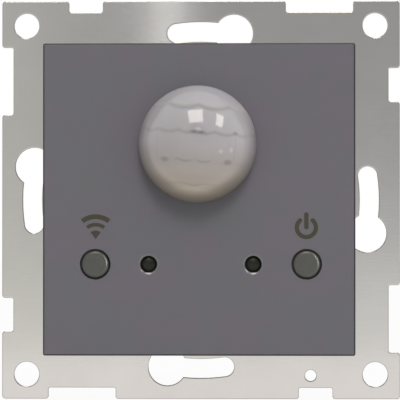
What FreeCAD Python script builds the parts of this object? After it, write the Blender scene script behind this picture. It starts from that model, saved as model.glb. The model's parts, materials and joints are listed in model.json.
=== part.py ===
import FreeCAD, Part
import math
import os

# A flush-mounted motion detector: a plug-on sensor head over a steel support ring and an in-wall insert.
# Millimetres. Seen from the room, X runs right and Z up. The front faces -Y and the wall plane is Y = 0.

# Support ring
ring_side = 71.0
ring_thk = 1.0
ring_corner_r = 0.6
small_notch_width = 6.0
small_notch_corner = 15.0
large_notch_width = 12.0
large_notch_corner = 14.3
notch_depth = 2.0
notch_outer_r = 0.5
notch_inner_r = 0.35
corner_hole_inset = 4.4
corner_hole_d = 4.45
slot_outward = 0.23
slot_width = 3.4
slot_end_angle = -8.15
entry_outward = 0.22
entry_d = 6.8
entry_angle = 11.3
locating_hole_d = 2.0
locating_hole_corner = 15.9
locating_hole_inset = 4.2
ring_opening_clear = 0.2

# Rivets that hold the ring to the insert
rivet_inset = 4.0
rivet_d = 2.0
rivet_head_d = 3.6
rivet_head_thk = 0.5
rivet_flare = 0.6
rivet_clear = 0.05

# Cover plate
cover_side = 55.0
cover_stand = 10.5
cover_wall = 1.6
skirt_wall = 1.5
skirt_gap = 0.5
cover_edge_r = 0.38
dome_from_top = 17.8
dome_x = -0.25
row_from_bottom = 16.1
row_shift = 0.35
button_from_side = 8.9
window_from_side = 18.3

# Lens dome and its retainer
dome_d = 20.6
dome_base = 1.0
dome_wall = 0.9
dome_hole_clear = 0.06
lens_flange_width = 1.2
lens_flange_thk = 0.6
retainer_thk = 1.0
retainer_rim = 2.6
retainer_lap = 1.1
stake_d = 1.5
stake_clear = 0.05
stake_stand = 0.2
stake_count = 3

# Sensor board and the heat sensor
board_gap = 0.4
board_thk = 1.2
board_margin = 1.2
spacer_d = 9.0
spacer_thk = 1.0
can_d = 8.2
can_height = 3.9
can_wall = 0.3
can_flange_d = 9.2
can_flange_thk = 0.4
can_window_width = 4.6
can_window_height = 3.6
filter_lap = 0.4
filter_thk = 0.5
lead_d = 0.46
lead_hole_d = 0.8
lead_circle = 5.08
lead_tail = 0.8

# Buttons and their switches
button_d = 4.8
button_hole_d = 5.4
button_proud = 0.4
button_edge_r = 0.65
button_flange_d = 6.8
button_flange_thk = 0.55
button_play = 0.05
button_travel = 0.3
press_spare = 0.1
switch_side = 4.5
switch_skin = 0.2
plunger_d = 2.0
plunger_clear = 0.1
snap_room_d = 3.4
snap_floor = 0.15
snap_thk = 0.08
snap_edge_clear = 0.1

# Light pipes, the light and the light sensor
window_d = 3.0
window_bevel = 0.3
window_bevel_depth = 0.17
pipe_clear = 0.15
pipe_recess = 0.3
pipe_tip_r = 2.3
pipe_flange_d = 4.4
pipe_flange_thk = 0.7
pipe_stub_d = 2.4
pipe_stub_gap = 0.1
chip_light_thk = 0.6
led_width = 1.6
led_height = 0.8
light_sensor_side = 2.0

# Radio module and chips on the back of the sensor board
radio_width = 16.0
radio_height = 12.0
radio_thk = 0.8
radio_z = -8.0
shield_margin = 1.5
shield_gap = 0.2
shield_wall = 0.2
chip_thk = 0.9
chip_places = ((-14.0, 3.0, 6.0, 6.0), (14.0, 3.0, 5.0, 4.0), (14.5, -6.0, 3.0, 3.0))

# Head back cover, its legs and screws
head_back_thk = 1.1
head_back_clear = 0.3
plug_gap = 0.2
head_screw_d = 1.6
head_screw_clear = 0.05
head_screw_head_d = 3.6
head_screw_head_thk = 0.8
head_screw_sunk = 0.1
boss_wall = 1.35
pilot_floor = 0.3
leg_inset = 5.13
leg_width = 4.0
leg_thk = 2.0
leg_reach = 8.0
leg_lead_in = 0.5

# Header between head and insert
pin_count = 6
pin_pitch = 2.0
pin_side = 0.5
pin_reach = 4.5
pin_clear = 0.1
header_rise = 4.8
header_strip_thk = 1.4
header_strip_height = 2.2
header_end = 1.1
socket_height = 2.8
socket_recess = 0.5
socket_depth = 6.0
socket_clear = 0.15
slot_around_pins = 0.4

# Insert housing and base cover
housing_d = 48.0
housing_depth = 30.0
housing_wall = 1.9
housing_floor = 1.6
housing_step = 1.0
housing_edge_r = 1.0
flange_trim = 0.5
flange_thk = 1.2
flange_corner_r = 4.0
base_ledge = 0.7
base_clear = 0.1
partition = 1.2
vent_width = 1.2
vent_length = 9.0
vent_pitch = 3.0
vent_count = 5
vent_z = 9.0

# Springs that grip the legs
spring_thk = 0.3
spring_gap = 0.05
spring_room = 0.4
spring_narrower = 0.4
pocket_side_clear = 0.15
pocket_wall = 0.8
pocket_floor = 0.8
leg_end_gap = 0.3

# Power board and what stands on it
power_board_front = 8.0
power_board_thk = 1.6
power_board_clear = 0.2
relay_size = (20.5, 15.7, 10.6)
relay_place = (-4.75, 0.8)
transformer_size = (11.5, 11.0, 12.0)
transformer_core_lap = 1.5
transformer_place = (12.75, 1.5)
filter_capacitor_size = (13.0, 12.0, 6.0)
filter_capacitor_place = (-5.0, 11.0)
buffer_capacitor_d = 8.0
buffer_capacitor_height = 12.0
buffer_capacitor_place = (8.0, 13.0)
varistor_d = 9.0
varistor_thk = 3.5
varistor_place = (-4.5, 16.75)
fuse_d = 3.4
fuse_height = 10.0
fuse_place = (-14.5, 10.0)
base_screw_inset = 2.5
base_screw_angle = 27.0
base_screw_d = 2.0
base_screw_clear = 0.05
base_screw_head_d = 3.8
base_screw_head_thk = 1.2
base_screw_bite = 3.4
post_wall = 0.85

# Terminals
terminal_count = 3
terminal_pitch = 9.0
block_end = 6.5
block_clear = 0.1
block_front_wall = 1.2
entry_wall = 2.2
block_roof = 1.4
lip_thk = 0.6
lip_opening_d = 3.2
terminal_screw_d = 2.9
terminal_head_d = 3.8
terminal_head_thk = 1.6
terminal_slot_width = 0.6
terminal_slot_depth = 0.8
terminal_gap = 0.1
thread_clear = 0.05
shoulder_thk = 1.4
cage_travel = 2.2
cage_spare = 0.3
cage_width = 4.7
cage_length = 4.6
cage_side_wall = 0.6
cage_nut_thk = 2.0
cage_floor_thk = 0.8
cage_clear = 0.1
smallest_wire_gap = 0.5
bar_width = 3.0
bar_thk = 0.7
bar_clear = 0.1
bar_tip_gap = 0.05
wire_entry_d = 2.6
block_screw_d = 1.6
block_screw_clear = 0.05
block_screw_head_d = 3.0
block_screw_head_thk = 1.0
block_screw_seat = 3.4
block_boss_gap = 1.85

# Levels along Y, from the room to the wall box
ring_front = -ring_thk
cover_front = -cover_stand
cover_back = cover_front + cover_wall
skirt_rear = ring_front - skirt_gap
dome_centre = cover_front - dome_base
lens_flange_rear = cover_back + lens_flange_thk
retainer_rear = lens_flange_rear + retainer_thk
board_front = retainer_rear + board_gap
board_back = board_front + board_thk
base_front = ring_front - flange_thk
base_rear = ring_front
head_back_rear = base_front - plug_gap
head_back_front = head_back_rear - head_back_thk
leg_end = base_front + leg_reach
power_board_rear = power_board_front + power_board_thk

# Plan of the ring: the keyholes run along the middle of its band, and the rest is set out from its corners
ring_half = ring_side / 2
ring_opening_d = housing_d + 2 * ring_opening_clear
slot_r = (ring_half + ring_opening_d / 2) / 2 + slot_outward
entry_r = slot_r + entry_outward
small_notch_at = small_notch_corner - ring_half
large_notch_at = ring_half - large_notch_corner
corner_hole_spacing = ring_side - 2 * corner_hole_inset

# Plan of the head, set out from the edges of its cover
cover_half = cover_side / 2
dome_z = cover_half - dome_from_top
row_z = row_from_bottom - cover_half
button_offset = cover_half - button_from_side
window_offset = cover_half - window_from_side
header_z = dome_z + header_rise
dome_r = dome_d / 2
lens_flange_r = dome_r + lens_flange_width
retainer_r = lens_flange_r + retainer_rim
skirt_inner = cover_half - skirt_wall
button_xs = (row_shift - button_offset, row_shift + button_offset)
window_xs = (row_shift - window_offset, row_shift + window_offset)

# Plan of the insert. Its flange reaches halfway from the housing to the cover's skirt, less a trim,
# and the screws of the head stand in line with the rivets at the flange's corners
housing_r = housing_d / 2
flange_half = (housing_r + skirt_inner) / 2 - flange_trim
rivet_spacing = 2 * (flange_half - rivet_inset)
head_screw_spacing = rivet_spacing
rear_r = housing_r - housing_step
front_bore_r = housing_r - housing_wall
rear_bore_r = rear_r - housing_wall
mouth_r = front_bore_r + base_ledge
leg_spacing = math.sqrt(2) * (front_bore_r - leg_inset)
base_screw_r = rear_bore_r - base_screw_inset
base_screw_x = base_screw_r * math.cos(math.radians(base_screw_angle))
base_screw_z = -base_screw_r * math.sin(math.radians(base_screw_angle))
step_y = power_board_rear + housing_step
socket_width = (pin_count - 1) * pin_pitch + 2 * header_end + pin_side

# Levels of a terminal, worked inward from the back of the block
head_y1 = housing_depth - lip_thk - terminal_gap
head_y0 = head_y1 - terminal_head_thk
well_y0 = head_y0 - terminal_gap
cavity_y1 = well_y0 - shoulder_thk
cage_y1 = cavity_y1 - cage_spare - cage_travel
bar_y1 = cage_y1 - cage_nut_thk - cage_spare
bar_y0 = bar_y1 - bar_thk
wire_gap = cage_travel + smallest_wire_gap
cage_y0 = bar_y0 - wire_gap - cage_floor_thk
cavity_y0 = cage_y0 - cage_clear
block_y0 = cavity_y0 - block_front_wall
block_boss_y0 = power_board_rear + block_boss_gap
block_pilot_y0 = block_boss_y0 + post_wall

# Plan of the terminal block, whose lower corners lie on the housing's round wall
block_half = (terminal_count - 1) * terminal_pitch / 2 + block_end
block_bottom = -math.sqrt(rear_r**2 - block_half**2)
cavity_z0 = block_bottom + entry_wall
cage_z0 = cavity_z0 + cage_clear
cage_z1 = cage_z0 + cage_length
cavity_z1 = cage_z1 + cage_clear
leg_z0 = cavity_z1 + bar_clear
leg_z1 = leg_z0 + bar_thk
block_top = leg_z1 + bar_clear + block_roof
cage_z = (cage_z0 + cage_z1) / 2
terminal_xs = [(i - (terminal_count - 1) / 2) * terminal_pitch for i in range(terminal_count)]
block_screw_xs = [x + terminal_pitch / 2 for x in terminal_xs[:-1]]

past = 1.0
along_y = FreeCAD.Vector(0, 1, 0)
origin = FreeCAD.Vector(0, 0, 0)


def block(x0, x1, y0, y1, z0, z1):
    return Part.makeBox(x1 - x0, y1 - y0, z1 - z0, FreeCAD.Vector(x0, y0, z0))


def centred(x, z, width, height, y0, y1):
    return block(x - width / 2, x + width / 2, y0, y1, z - height / 2, z + height / 2)


def disc(diameter, y0, y1, x=0.0, z=0.0):
    return Part.makeCylinder(diameter / 2, y1 - y0, FreeCAD.Vector(x, y0, z), along_y)


def cone(d0, d1, y0, y1, x, z):
    return Part.makeCone(d0 / 2, d1 / 2, y1 - y0, FreeCAD.Vector(x, y0, z), along_y)


def front_half_ball(diameter, y, x, z):
    return Part.makeSphere(diameter / 2, FreeCAD.Vector(x, y, z), FreeCAD.Vector(0, -1, 0), 0, 90, 360)


def front_cap(diameter, ball_r, tip, x, z):
    edge_angle = math.degrees(math.acos(diameter / 2 / ball_r))
    centre = FreeCAD.Vector(x, tip + ball_r, z)
    return Part.makeSphere(ball_r, centre, FreeCAD.Vector(0, -1, 0), edge_angle, 90, 360)


def join(shapes):
    whole = shapes[0]
    if len(shapes) > 1:
        whole = shapes[0].fuse(shapes[1:])
    return whole.removeSplitter()


def cut(shape, tools):
    return shape.cut(tools).removeSplitter()


def four_corners(spacing):
    half = spacing / 2
    return [(x, z) for x in (-half, half) for z in (-half, half)]


def lengthwise_edges(shape, wanted):
    """Edges that run straight along Y and stand at a plan position that wanted accepts."""
    chosen = []
    for edge in shape.Edges:
        a, b = edge.Vertexes[0].Point, edge.Vertexes[-1].Point
        if abs(a.y - b.y) > 0.01 and abs(a.x - b.x) < 1e-6 and abs(a.z - b.z) < 1e-6:
            if wanted(a.x, a.z):
                chosen.append(edge)
    return chosen


def rounded_plate(side, corner_r, y0, y1):
    plate = centred(0, 0, side, side, y0, y1)
    return plate.makeFillet(corner_r, lengthwise_edges(plate, lambda x, z: True))


# A point on a circle about the origin, its angle counted clockwise from the top as seen from the room
def clock_point(radius, angle, y=0.0):
    turn = math.radians(angle)
    return FreeCAD.Vector(radius * math.sin(turn), y, radius * math.cos(turn))


def turned_clockwise(shape, quarters):
    copy = shape.copy()
    copy.rotate(origin, along_y, 90 * quarters)
    return copy


def ring_outline():
    half = ring_half
    side = [(-half, half)]
    for at, width in ((small_notch_at, small_notch_width), (large_notch_at, large_notch_width)):
        left, right = at - width / 2, at + width / 2
        side += [(left, half), (left, half - notch_depth), (right, half - notch_depth), (right, half)]
    points = []
    for quarter in range(4):
        points += [FreeCAD.Vector(x, ring_front, z) for x, z in side]
        side = [(z, -x) for x, z in side]
    return Part.Face(Part.makePolygon(points + points[:1])).extrude(FreeCAD.Vector(0, ring_thk, 0))


def keyhole():
    inner, outer = slot_r - slot_width / 2, slot_r + slot_width / 2
    y = ring_front - past
    middle = (slot_end_angle + entry_angle) / 2
    tip = clock_point(slot_r, slot_end_angle, y)
    tip += clock_point(slot_width / 2, slot_end_angle - 90)
    edges = [
        Part.Arc(clock_point(outer, slot_end_angle, y), clock_point(outer, middle, y),
                 clock_point(outer, entry_angle, y)).toShape(),
        Part.makeLine(clock_point(outer, entry_angle, y), clock_point(inner, entry_angle, y)),
        Part.Arc(clock_point(inner, entry_angle, y), clock_point(inner, middle, y),
                 clock_point(inner, slot_end_angle, y)).toShape(),
        Part.Arc(clock_point(inner, slot_end_angle, y), tip,
                 clock_point(outer, slot_end_angle, y)).toShape(),
    ]
    slot = Part.Face(Part.Wire(edges)).extrude(FreeCAD.Vector(0, ring_thk + 2 * past, 0))
    entry_at = clock_point(entry_r, entry_angle)
    entry = disc(entry_d, y, y + ring_thk + 2 * past, entry_at.x, entry_at.z)
    return slot.fuse(entry)


def make_support_ring():
    half = ring_half
    plate = ring_outline()

    def on_edge(value):
        return abs(abs(value) - half) < 1e-6

    corners = lengthwise_edges(plate, lambda x, z: on_edge(x) and on_edge(z))
    plate = plate.makeFillet(ring_corner_r, corners)
    mouths = lengthwise_edges(plate, lambda x, z: on_edge(x) != on_edge(z)
                              and min(abs(x), abs(z)) < half - 2 * ring_corner_r)
    plate = plate.makeFillet(notch_outer_r, mouths)

    def notch_floor(x, z):
        return abs(max(abs(x), abs(z)) - (half - notch_depth)) < 1e-6

    plate = plate.makeFillet(notch_inner_r, lengthwise_edges(plate, notch_floor))
    y0, y1 = ring_front - past, past
    tools = [disc(ring_opening_d, y0, y1)]
    tools += [disc(corner_hole_d, y0, y1, x, z) for x, z in four_corners(corner_hole_spacing)]
    tools.append(disc(locating_hole_d, y0, y1, half - locating_hole_corner, locating_hole_inset - half))
    tools += [turned_clockwise(keyhole(), quarter) for quarter in range(4)]
    shank_d = rivet_d + 2 * rivet_clear
    for x, z in four_corners(rivet_spacing):
        tools.append(disc(shank_d, y0, y1, x, z))
        tools.append(cone(shank_d, shank_d + 2 * rivet_flare, -rivet_flare, 0, x, z))
    return cut(plate, tools)


def make_rivets():
    rivets = []
    for x, z in four_corners(rivet_spacing):
        rivets.append(join([
            disc(rivet_head_d, base_front, base_front + rivet_head_thk, x, z),
            disc(rivet_d, base_front, -rivet_clear, x, z),
            cone(rivet_d, rivet_d + 2 * (rivet_flare - rivet_clear), -rivet_flare, -rivet_clear, x, z),
        ]))
    return Part.makeCompound(rivets)


def stake_places():
    radius = (lens_flange_r + retainer_r) / 2
    places = []
    for i in range(stake_count):
        turn = math.radians(90 + 360 * i / stake_count)
        places.append((dome_x + radius * math.cos(turn), dome_z + radius * math.sin(turn)))
    return places


def make_cover_plate():
    shell = centred(0, 0, cover_side, cover_side, cover_front, skirt_rear)
    outer_edges = [e for e in shell.Edges if e.BoundBox.YMin < skirt_rear - 1e-6]
    shell = shell.makeFillet(cover_edge_r, outer_edges)
    hollow = centred(0, 0, 2 * skirt_inner, 2 * skirt_inner, cover_back, skirt_rear + past)
    shell = shell.cut(hollow)
    boss_d = head_screw_d + 2 * head_screw_clear + 2 * boss_wall
    additions = [disc(boss_d, cover_back, board_front, x, z) for x, z in four_corners(head_screw_spacing)]
    rim = disc(2 * retainer_r, cover_back, lens_flange_rear, dome_x, dome_z)
    rim = rim.cut(disc(2 * (lens_flange_r + dome_hole_clear), cover_back, lens_flange_rear, dome_x, dome_z))
    additions.append(rim)
    for x, z in stake_places():
        additions.append(disc(stake_d, cover_back, retainer_rear + stake_stand, x, z))
    shell = join([shell] + additions)
    y0, y1 = cover_front - past, cover_back + past
    tools = [disc(dome_d + 2 * dome_hole_clear, y0, cover_back, dome_x, dome_z)]
    tools += [disc(button_hole_d, y0, y1, x, row_z) for x in button_xs]
    for x in window_xs:
        tools.append(disc(window_d, y0, y1, x, row_z))
        tools.append(cone(window_d + 2 * window_bevel, window_d,
                          cover_front, cover_front + window_bevel_depth, x, row_z))
    pilot_d = head_screw_d + 2 * head_screw_clear
    for x, z in four_corners(head_screw_spacing):
        tools.append(disc(pilot_d, cover_back + pilot_floor, board_front + past, x, z))
    return cut(shell, tools)


def make_lens_dome():
    outer = join([
        front_half_ball(dome_d, dome_centre, dome_x, dome_z),
        disc(dome_d, dome_centre, lens_flange_rear, dome_x, dome_z),
        disc(2 * lens_flange_r, cover_back, lens_flange_rear, dome_x, dome_z),
    ])
    inner_d = dome_d - 2 * dome_wall
    return cut(outer, [
        front_half_ball(inner_d, dome_centre, dome_x, dome_z),
        disc(inner_d, dome_centre, lens_flange_rear + past, dome_x, dome_z),
    ])


def make_lens_retainer():
    ring = disc(2 * retainer_r, lens_flange_rear, retainer_rear, dome_x, dome_z)
    y0, y1 = lens_flange_rear - past, retainer_rear + past
    tools = [disc(2 * (lens_flange_r - retainer_lap), y0, y1, dome_x, dome_z)]
    for x, z in stake_places():
        tools.append(disc(stake_d + 2 * stake_clear, y0, y1, x, z))
    return cut(ring, tools)


def lead_places():
    places = []
    for angle in (45, 135, 225):
        turn = math.radians(angle)
        places.append((dome_x + lead_circle / 2 * math.cos(turn),
                       dome_z + lead_circle / 2 * math.sin(turn)))
    return places


def make_sensor_board():
    side = 2 * (skirt_inner - board_margin)
    board = centred(0, 0, side, side, board_front, board_back)
    tools = []
    for x, z in four_corners(head_screw_spacing):
        tools.append(disc(head_screw_d + 4 * head_screw_clear, board_front - past, board_back + past, x, z))
    for x, z in lead_places():
        tools.append(disc(lead_hole_d, board_front - past, board_back + past, x, z))
    return cut(board, tools)


def make_pir_spacer():
    spacer = disc(spacer_d, board_front - spacer_thk, board_front, dome_x, dome_z)
    holes = [disc(lead_hole_d, board_front - spacer_thk - past, board_front + past, x, z)
             for x, z in lead_places()]
    return cut(spacer, holes)


def make_pir_can():
    base_rear_y = board_front - spacer_thk
    base_front_y = base_rear_y - can_flange_thk
    top = base_front_y - can_height
    can = join([
        disc(can_flange_d, base_front_y, base_rear_y, dome_x, dome_z),
        disc(can_d, top, base_front_y, dome_x, dome_z),
    ])
    return cut(can, [
        disc(can_d - 2 * can_wall, top + can_wall, base_front_y, dome_x, dome_z),
        centred(dome_x, dome_z, can_window_width, can_window_height, top - past, top + can_wall + past),
    ])


def make_pir_filter_window():
    top = board_front - spacer_thk - can_flange_thk - can_height
    return centred(dome_x, dome_z, can_window_width + 2 * filter_lap, can_window_height + 2 * filter_lap,
                   top + can_wall, top + can_wall + filter_thk)


def make_pir_leads():
    return Part.makeCompound([disc(lead_d, board_front - spacer_thk, board_back + lead_tail, x, z)
                              for x, z in lead_places()])


# Levels of a button: the cap's flange waits behind the cover, and the plunger reaches into the switch
flange_y0 = cover_back + button_play
flange_y1 = flange_y0 + button_flange_thk
switch_y0 = flange_y1 + button_travel + press_spare
snap_floor_y = board_front - snap_floor
snap_top_y = snap_floor_y - button_travel - snap_thk
plunger_y1 = snap_top_y - button_play


def make_button(x):
    cap = disc(button_d, cover_front - button_proud, flange_y1, x, row_z)
    rim = [e for e in cap.Edges if e.BoundBox.YMax < cover_front - button_proud + 1e-6]
    cap = cap.makeFillet(button_edge_r, rim)
    return join([cap, disc(button_flange_d, flange_y0, flange_y1, x, row_z)])


def make_plunger(x):
    return disc(plunger_d, flange_y1, plunger_y1, x, row_z)


def make_switch(x):
    body = centred(x, row_z, switch_side, switch_side, switch_y0, board_front)
    return cut(body, [
        disc(plunger_d + 2 * plunger_clear, switch_y0 - past, snap_floor_y, x, row_z),
        disc(snap_room_d, switch_y0 + switch_skin, snap_floor_y, x, row_z),
    ])


# A snap dome is a thin spherical cap that stands on the switch's floor
def make_snap_dome(x):
    foot_r = snap_room_d / 2 - snap_edge_clear
    rise = snap_floor_y - snap_top_y
    ball_r = (foot_r**2 + rise**2) / (2 * rise)
    centre = FreeCAD.Vector(x, snap_top_y + ball_r, row_z)
    shell = Part.makeSphere(ball_r, centre).cut(Part.makeSphere(ball_r - snap_thk, centre))
    return shell.common(disc(snap_room_d, snap_top_y - past, snap_floor_y, x, row_z)).removeSplitter()


def make_light_pipe(x):
    pipe_d = window_d - 2 * pipe_clear
    tip = cover_front + pipe_recess
    shoulder = tip + pipe_tip_r - math.sqrt(pipe_tip_r ** 2 - pipe_d ** 2 / 4)
    flange_rear = cover_back + pipe_flange_thk
    return join([
        front_cap(pipe_d, pipe_tip_r, tip, x, row_z),
        disc(pipe_d, shoulder, cover_back, x, row_z),
        disc(pipe_flange_d, cover_back, flange_rear, x, row_z),
        disc(pipe_stub_d, flange_rear, board_front - chip_light_thk - pipe_stub_gap, x, row_z),
    ])


def make_status_led():
    return centred(window_xs[0], row_z, led_width, led_height, board_front - chip_light_thk, board_front)


def make_daylight_sensor():
    return centred(window_xs[1], row_z, light_sensor_side, light_sensor_side,
                   board_front - chip_light_thk, board_front)


def make_radio_module():
    return centred(0, radio_z, radio_width, radio_height, board_back, board_back + radio_thk)


def make_radio_shield():
    y0, y1 = board_back + radio_thk, head_back_front - shield_gap
    width, height = radio_width - 2 * shield_margin, radio_height - 2 * shield_margin
    can = centred(0, radio_z, width, height, y0, y1)
    return cut(can, [centred(0, radio_z, width - 2 * shield_wall, height - 2 * shield_wall,
                             y0, y1 - shield_wall)])


def make_board_chips():
    return Part.makeCompound([centred(x, z, width, height, board_back, board_back + chip_thk)
                              for x, z, width, height in chip_places])


def pin_places():
    return [(i - (pin_count - 1) / 2) * pin_pitch for i in range(pin_count)]


def pin_holes(side, y0, y1):
    return [centred(x, header_z, side, side, y0, y1) for x in pin_places()]


def make_header_strip():
    strip = centred(0, header_z, socket_width, header_strip_height, board_back, board_back + header_strip_thk)
    return cut(strip, pin_holes(pin_side, board_back - past, board_back + header_strip_thk + past))


def make_header_pins():
    return Part.makeCompound(pin_holes(pin_side, board_back, base_front + pin_reach))


def make_head_back():
    side = 2 * (skirt_inner - head_back_clear)
    post_d = head_screw_head_d + 4 * head_screw_clear + 2 * post_wall
    leg_y0 = head_back_rear - head_back_thk / 2
    solids = [centred(0, 0, side, side, head_back_front, head_back_rear)]
    for x, z in four_corners(head_screw_spacing):
        solids.append(disc(post_d, board_back, head_back_front, x, z))
    for x, z in four_corners(leg_spacing):
        leg = centred(x, z, leg_width, leg_thk, leg_y0, leg_end)
        tip = [e for e in leg.Edges if e.BoundBox.YMin > leg_end - 1e-6 and e.BoundBox.XLength > 1e-6]
        solids.append(leg.makeChamfer(leg_lead_in, tip))
    window = pin_side + 2 * slot_around_pins
    tools = [centred(0, header_z, (pin_count - 1) * pin_pitch + window, window,
                     head_back_front - past, head_back_rear + past)]
    for x, z in four_corners(head_screw_spacing):
        tools.append(disc(head_screw_d + 4 * head_screw_clear,
                          board_back - past, head_back_rear + past, x, z))
        tools.append(disc(head_screw_head_d + 4 * head_screw_clear,
                          head_screw_shoulder, head_back_rear + past, x, z))
    return cut(join(solids), tools)


head_screw_shoulder = head_back_rear - head_screw_sunk - head_screw_head_thk


def driver_slot(x, z, head_d, y0, y1, width):
    return centred(x, z, head_d + past, width, y0, y1)


def make_head_screws():
    screws = []
    tip = cover_back + pilot_floor + head_screw_clear
    top = head_screw_shoulder + head_screw_head_thk
    for x, z in four_corners(head_screw_spacing):
        screw = join([disc(head_screw_d, tip, head_screw_shoulder, x, z),
                      disc(head_screw_head_d, head_screw_shoulder, top, x, z)])
        screws.append(cut(screw, [
            driver_slot(x, z, head_screw_head_d, top - head_screw_head_thk / 2, top + past,
                        head_screw_d / 3),
        ]))
    return Part.makeCompound(screws)


def rear_barrel():
    barrel = disc(2 * rear_r, step_y, housing_depth)
    rim = [e for e in barrel.Edges if e.BoundBox.YMin > housing_depth - 1e-6]
    return barrel.makeFillet(housing_edge_r, rim)


def terminal_notch(grow):
    """The corner of the housing that the terminal block fills, larger by grow on its inner faces."""
    half = block_half + block_clear + grow
    return block(-half, half, block_y0 - grow, housing_depth + past,
                 -housing_d, block_top + block_clear + grow)


def bar_leg_slot(x, y0, y1):
    return block(x - bar_width / 2 - bar_clear, x + bar_width / 2 + bar_clear, y0, y1,
                 leg_z0 - bar_clear, leg_z1 + bar_clear)


def make_housing():
    flange = rounded_plate(2 * flange_half, flange_corner_r, base_front, ring_front)
    outer = join([flange, disc(housing_d, ring_front, step_y), rear_barrel()])
    outer = outer.cut(terminal_notch(0))
    hollow = join([
        disc(2 * mouth_r, base_front - past, base_rear),
        disc(2 * front_bore_r, base_rear - past, power_board_rear),
        disc(2 * rear_bore_r, power_board_rear - past, housing_depth - housing_floor),
    ])
    hollow = hollow.cut(terminal_notch(partition))
    shell = outer.cut(hollow)
    bosses = []
    for x in (-base_screw_x, base_screw_x):
        boss_d = base_screw_d + 4 * post_wall + 2 * base_screw_clear
        bosses.append(disc(boss_d, power_board_rear, power_board_rear + base_screw_bite + post_wall,
                           x, base_screw_z))
    for x in block_screw_xs:
        bosses.append(disc(block_screw_d + 2 * boss_wall, block_boss_y0, block_y0 - partition / 2,
                           x, cage_z))
    shell = join([shell.cut(bosses).fuse(bosses)])
    tools = []
    for x, z in four_corners(rivet_spacing):
        tools.append(disc(rivet_d + 2 * rivet_clear, base_front - past, ring_front + past, x, z))
        tools.append(disc(rivet_head_d + 2 * rivet_clear, base_front - past,
                          base_front + rivet_head_thk, x, z))
    for x in (-base_screw_x, base_screw_x):
        tools.append(disc(base_screw_d + 2 * base_screw_clear, power_board_rear - past,
                          power_board_rear + base_screw_bite, x, base_screw_z))
    for x in block_screw_xs:
        tools.append(disc(block_screw_d + 2 * block_screw_clear, block_pilot_y0,
                          block_y0 + past, x, cage_z))
    for x in terminal_xs:
        tools.append(bar_leg_slot(x, block_y0 - partition - past, block_y0 + past))
    for i in range(vent_count):
        x = (i - (vent_count - 1) / 2) * vent_pitch
        tools.append(centred(x, vent_z, vent_width, vent_length,
                             housing_depth - housing_floor - past, housing_depth + past))
    return cut(shell, tools)


def make_base_cover():
    pocket_x = leg_width / 2 + pocket_side_clear
    pocket_z = leg_thk / 2 + spring_gap + spring_thk + spring_room
    pocket_end = leg_end + leg_end_gap + spring_thk
    post_d = base_screw_head_d + 4 * base_screw_clear + 2 * post_wall
    solids = [disc(2 * (mouth_r - base_clear), base_front, base_rear)]
    for x, z in four_corners(leg_spacing):
        solids.append(centred(x, z, 2 * (pocket_x + pocket_wall), 2 * (pocket_z + pocket_wall),
                              base_rear, pocket_end + pocket_floor))
    for x in (-base_screw_x, base_screw_x):
        solids.append(disc(post_d, base_rear, power_board_front, x, base_screw_z))
    tools = [centred(0, header_z, socket_width + 2 * socket_clear, socket_height + 2 * socket_clear,
                     base_front - past, base_rear + past)]
    for x, z in four_corners(leg_spacing):
        tools.append(centred(x, z, 2 * pocket_x, 2 * pocket_z, base_front - past, pocket_end))
    for x in (-base_screw_x, base_screw_x):
        tools.append(disc(base_screw_d + 4 * base_screw_clear, base_front - past,
                          power_board_front + past, x, base_screw_z))
        tools.append(disc(base_screw_head_d + 4 * base_screw_clear, base_front - past,
                          base_screw_shoulder, x, base_screw_z))
    return cut(join(solids), tools)


base_screw_shoulder = base_front + base_screw_clear + base_screw_head_thk


def make_base_screws():
    screws = []
    top = base_screw_shoulder - base_screw_head_thk
    tip = power_board_rear + base_screw_bite - base_screw_clear
    for x in (-base_screw_x, base_screw_x):
        screw = join([disc(base_screw_head_d, top, base_screw_shoulder, x, base_screw_z),
                      disc(base_screw_d, base_screw_shoulder, tip, x, base_screw_z)])
        screws.append(cut(screw, [
            driver_slot(x, base_screw_z, base_screw_head_d, top - past, top + base_screw_head_thk / 2,
                        base_screw_d / 3),
        ]))
    return Part.makeCompound(screws)


# Each leg is gripped by a U-shaped leaf spring that stands on the floor of its pocket
def make_leg_springs():
    springs = []
    width = leg_width - spring_narrower
    inner = leg_thk / 2 + spring_gap
    y1 = leg_end + leg_end_gap + spring_thk
    for x, z in four_corners(leg_spacing):
        outer_u = centred(x, z, width, 2 * (inner + spring_thk), base_rear, y1)
        springs.append(outer_u.cut(centred(x, z, width, 2 * inner, base_rear, y1 - spring_thk)))
    return Part.makeCompound(springs)


def make_header_socket():
    front = base_front + socket_recess
    body = centred(0, header_z, socket_width, socket_height, front, power_board_front)
    return cut(body, pin_holes(pin_side + 2 * pin_clear, front - past, front + socket_depth))


def make_power_board():
    board = disc(2 * (front_bore_r - power_board_clear), power_board_front, power_board_rear)
    holes = [disc(base_screw_d + 4 * base_screw_clear, power_board_front - past,
                  power_board_rear + past, x, base_screw_z) for x in (-base_screw_x, base_screw_x)]
    return cut(board, holes)


def on_power_board(size, place):
    width, depth, height = size
    x, z = place
    return centred(x, z, width, height, power_board_rear, power_board_rear + depth)


def make_transformer():
    width, depth, height = transformer_size
    x, z = transformer_place
    core = centred(x, z, width, height - 2 * transformer_core_lap,
                   power_board_rear, power_board_rear + depth)
    bobbin = centred(x, z, width - 2 * transformer_core_lap, height,
                     power_board_rear, power_board_rear + depth - transformer_core_lap)
    return join([core, bobbin])


def make_buffer_capacitor():
    x, z = buffer_capacitor_place
    return disc(buffer_capacitor_d, power_board_rear, power_board_rear + buffer_capacitor_height, x, z)


def make_varistor():
    x, z = varistor_place
    centre = FreeCAD.Vector(x, power_board_rear + varistor_d / 2, z - varistor_thk / 2)
    return Part.makeCylinder(varistor_d / 2, varistor_thk, centre, FreeCAD.Vector(0, 0, 1))


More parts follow.
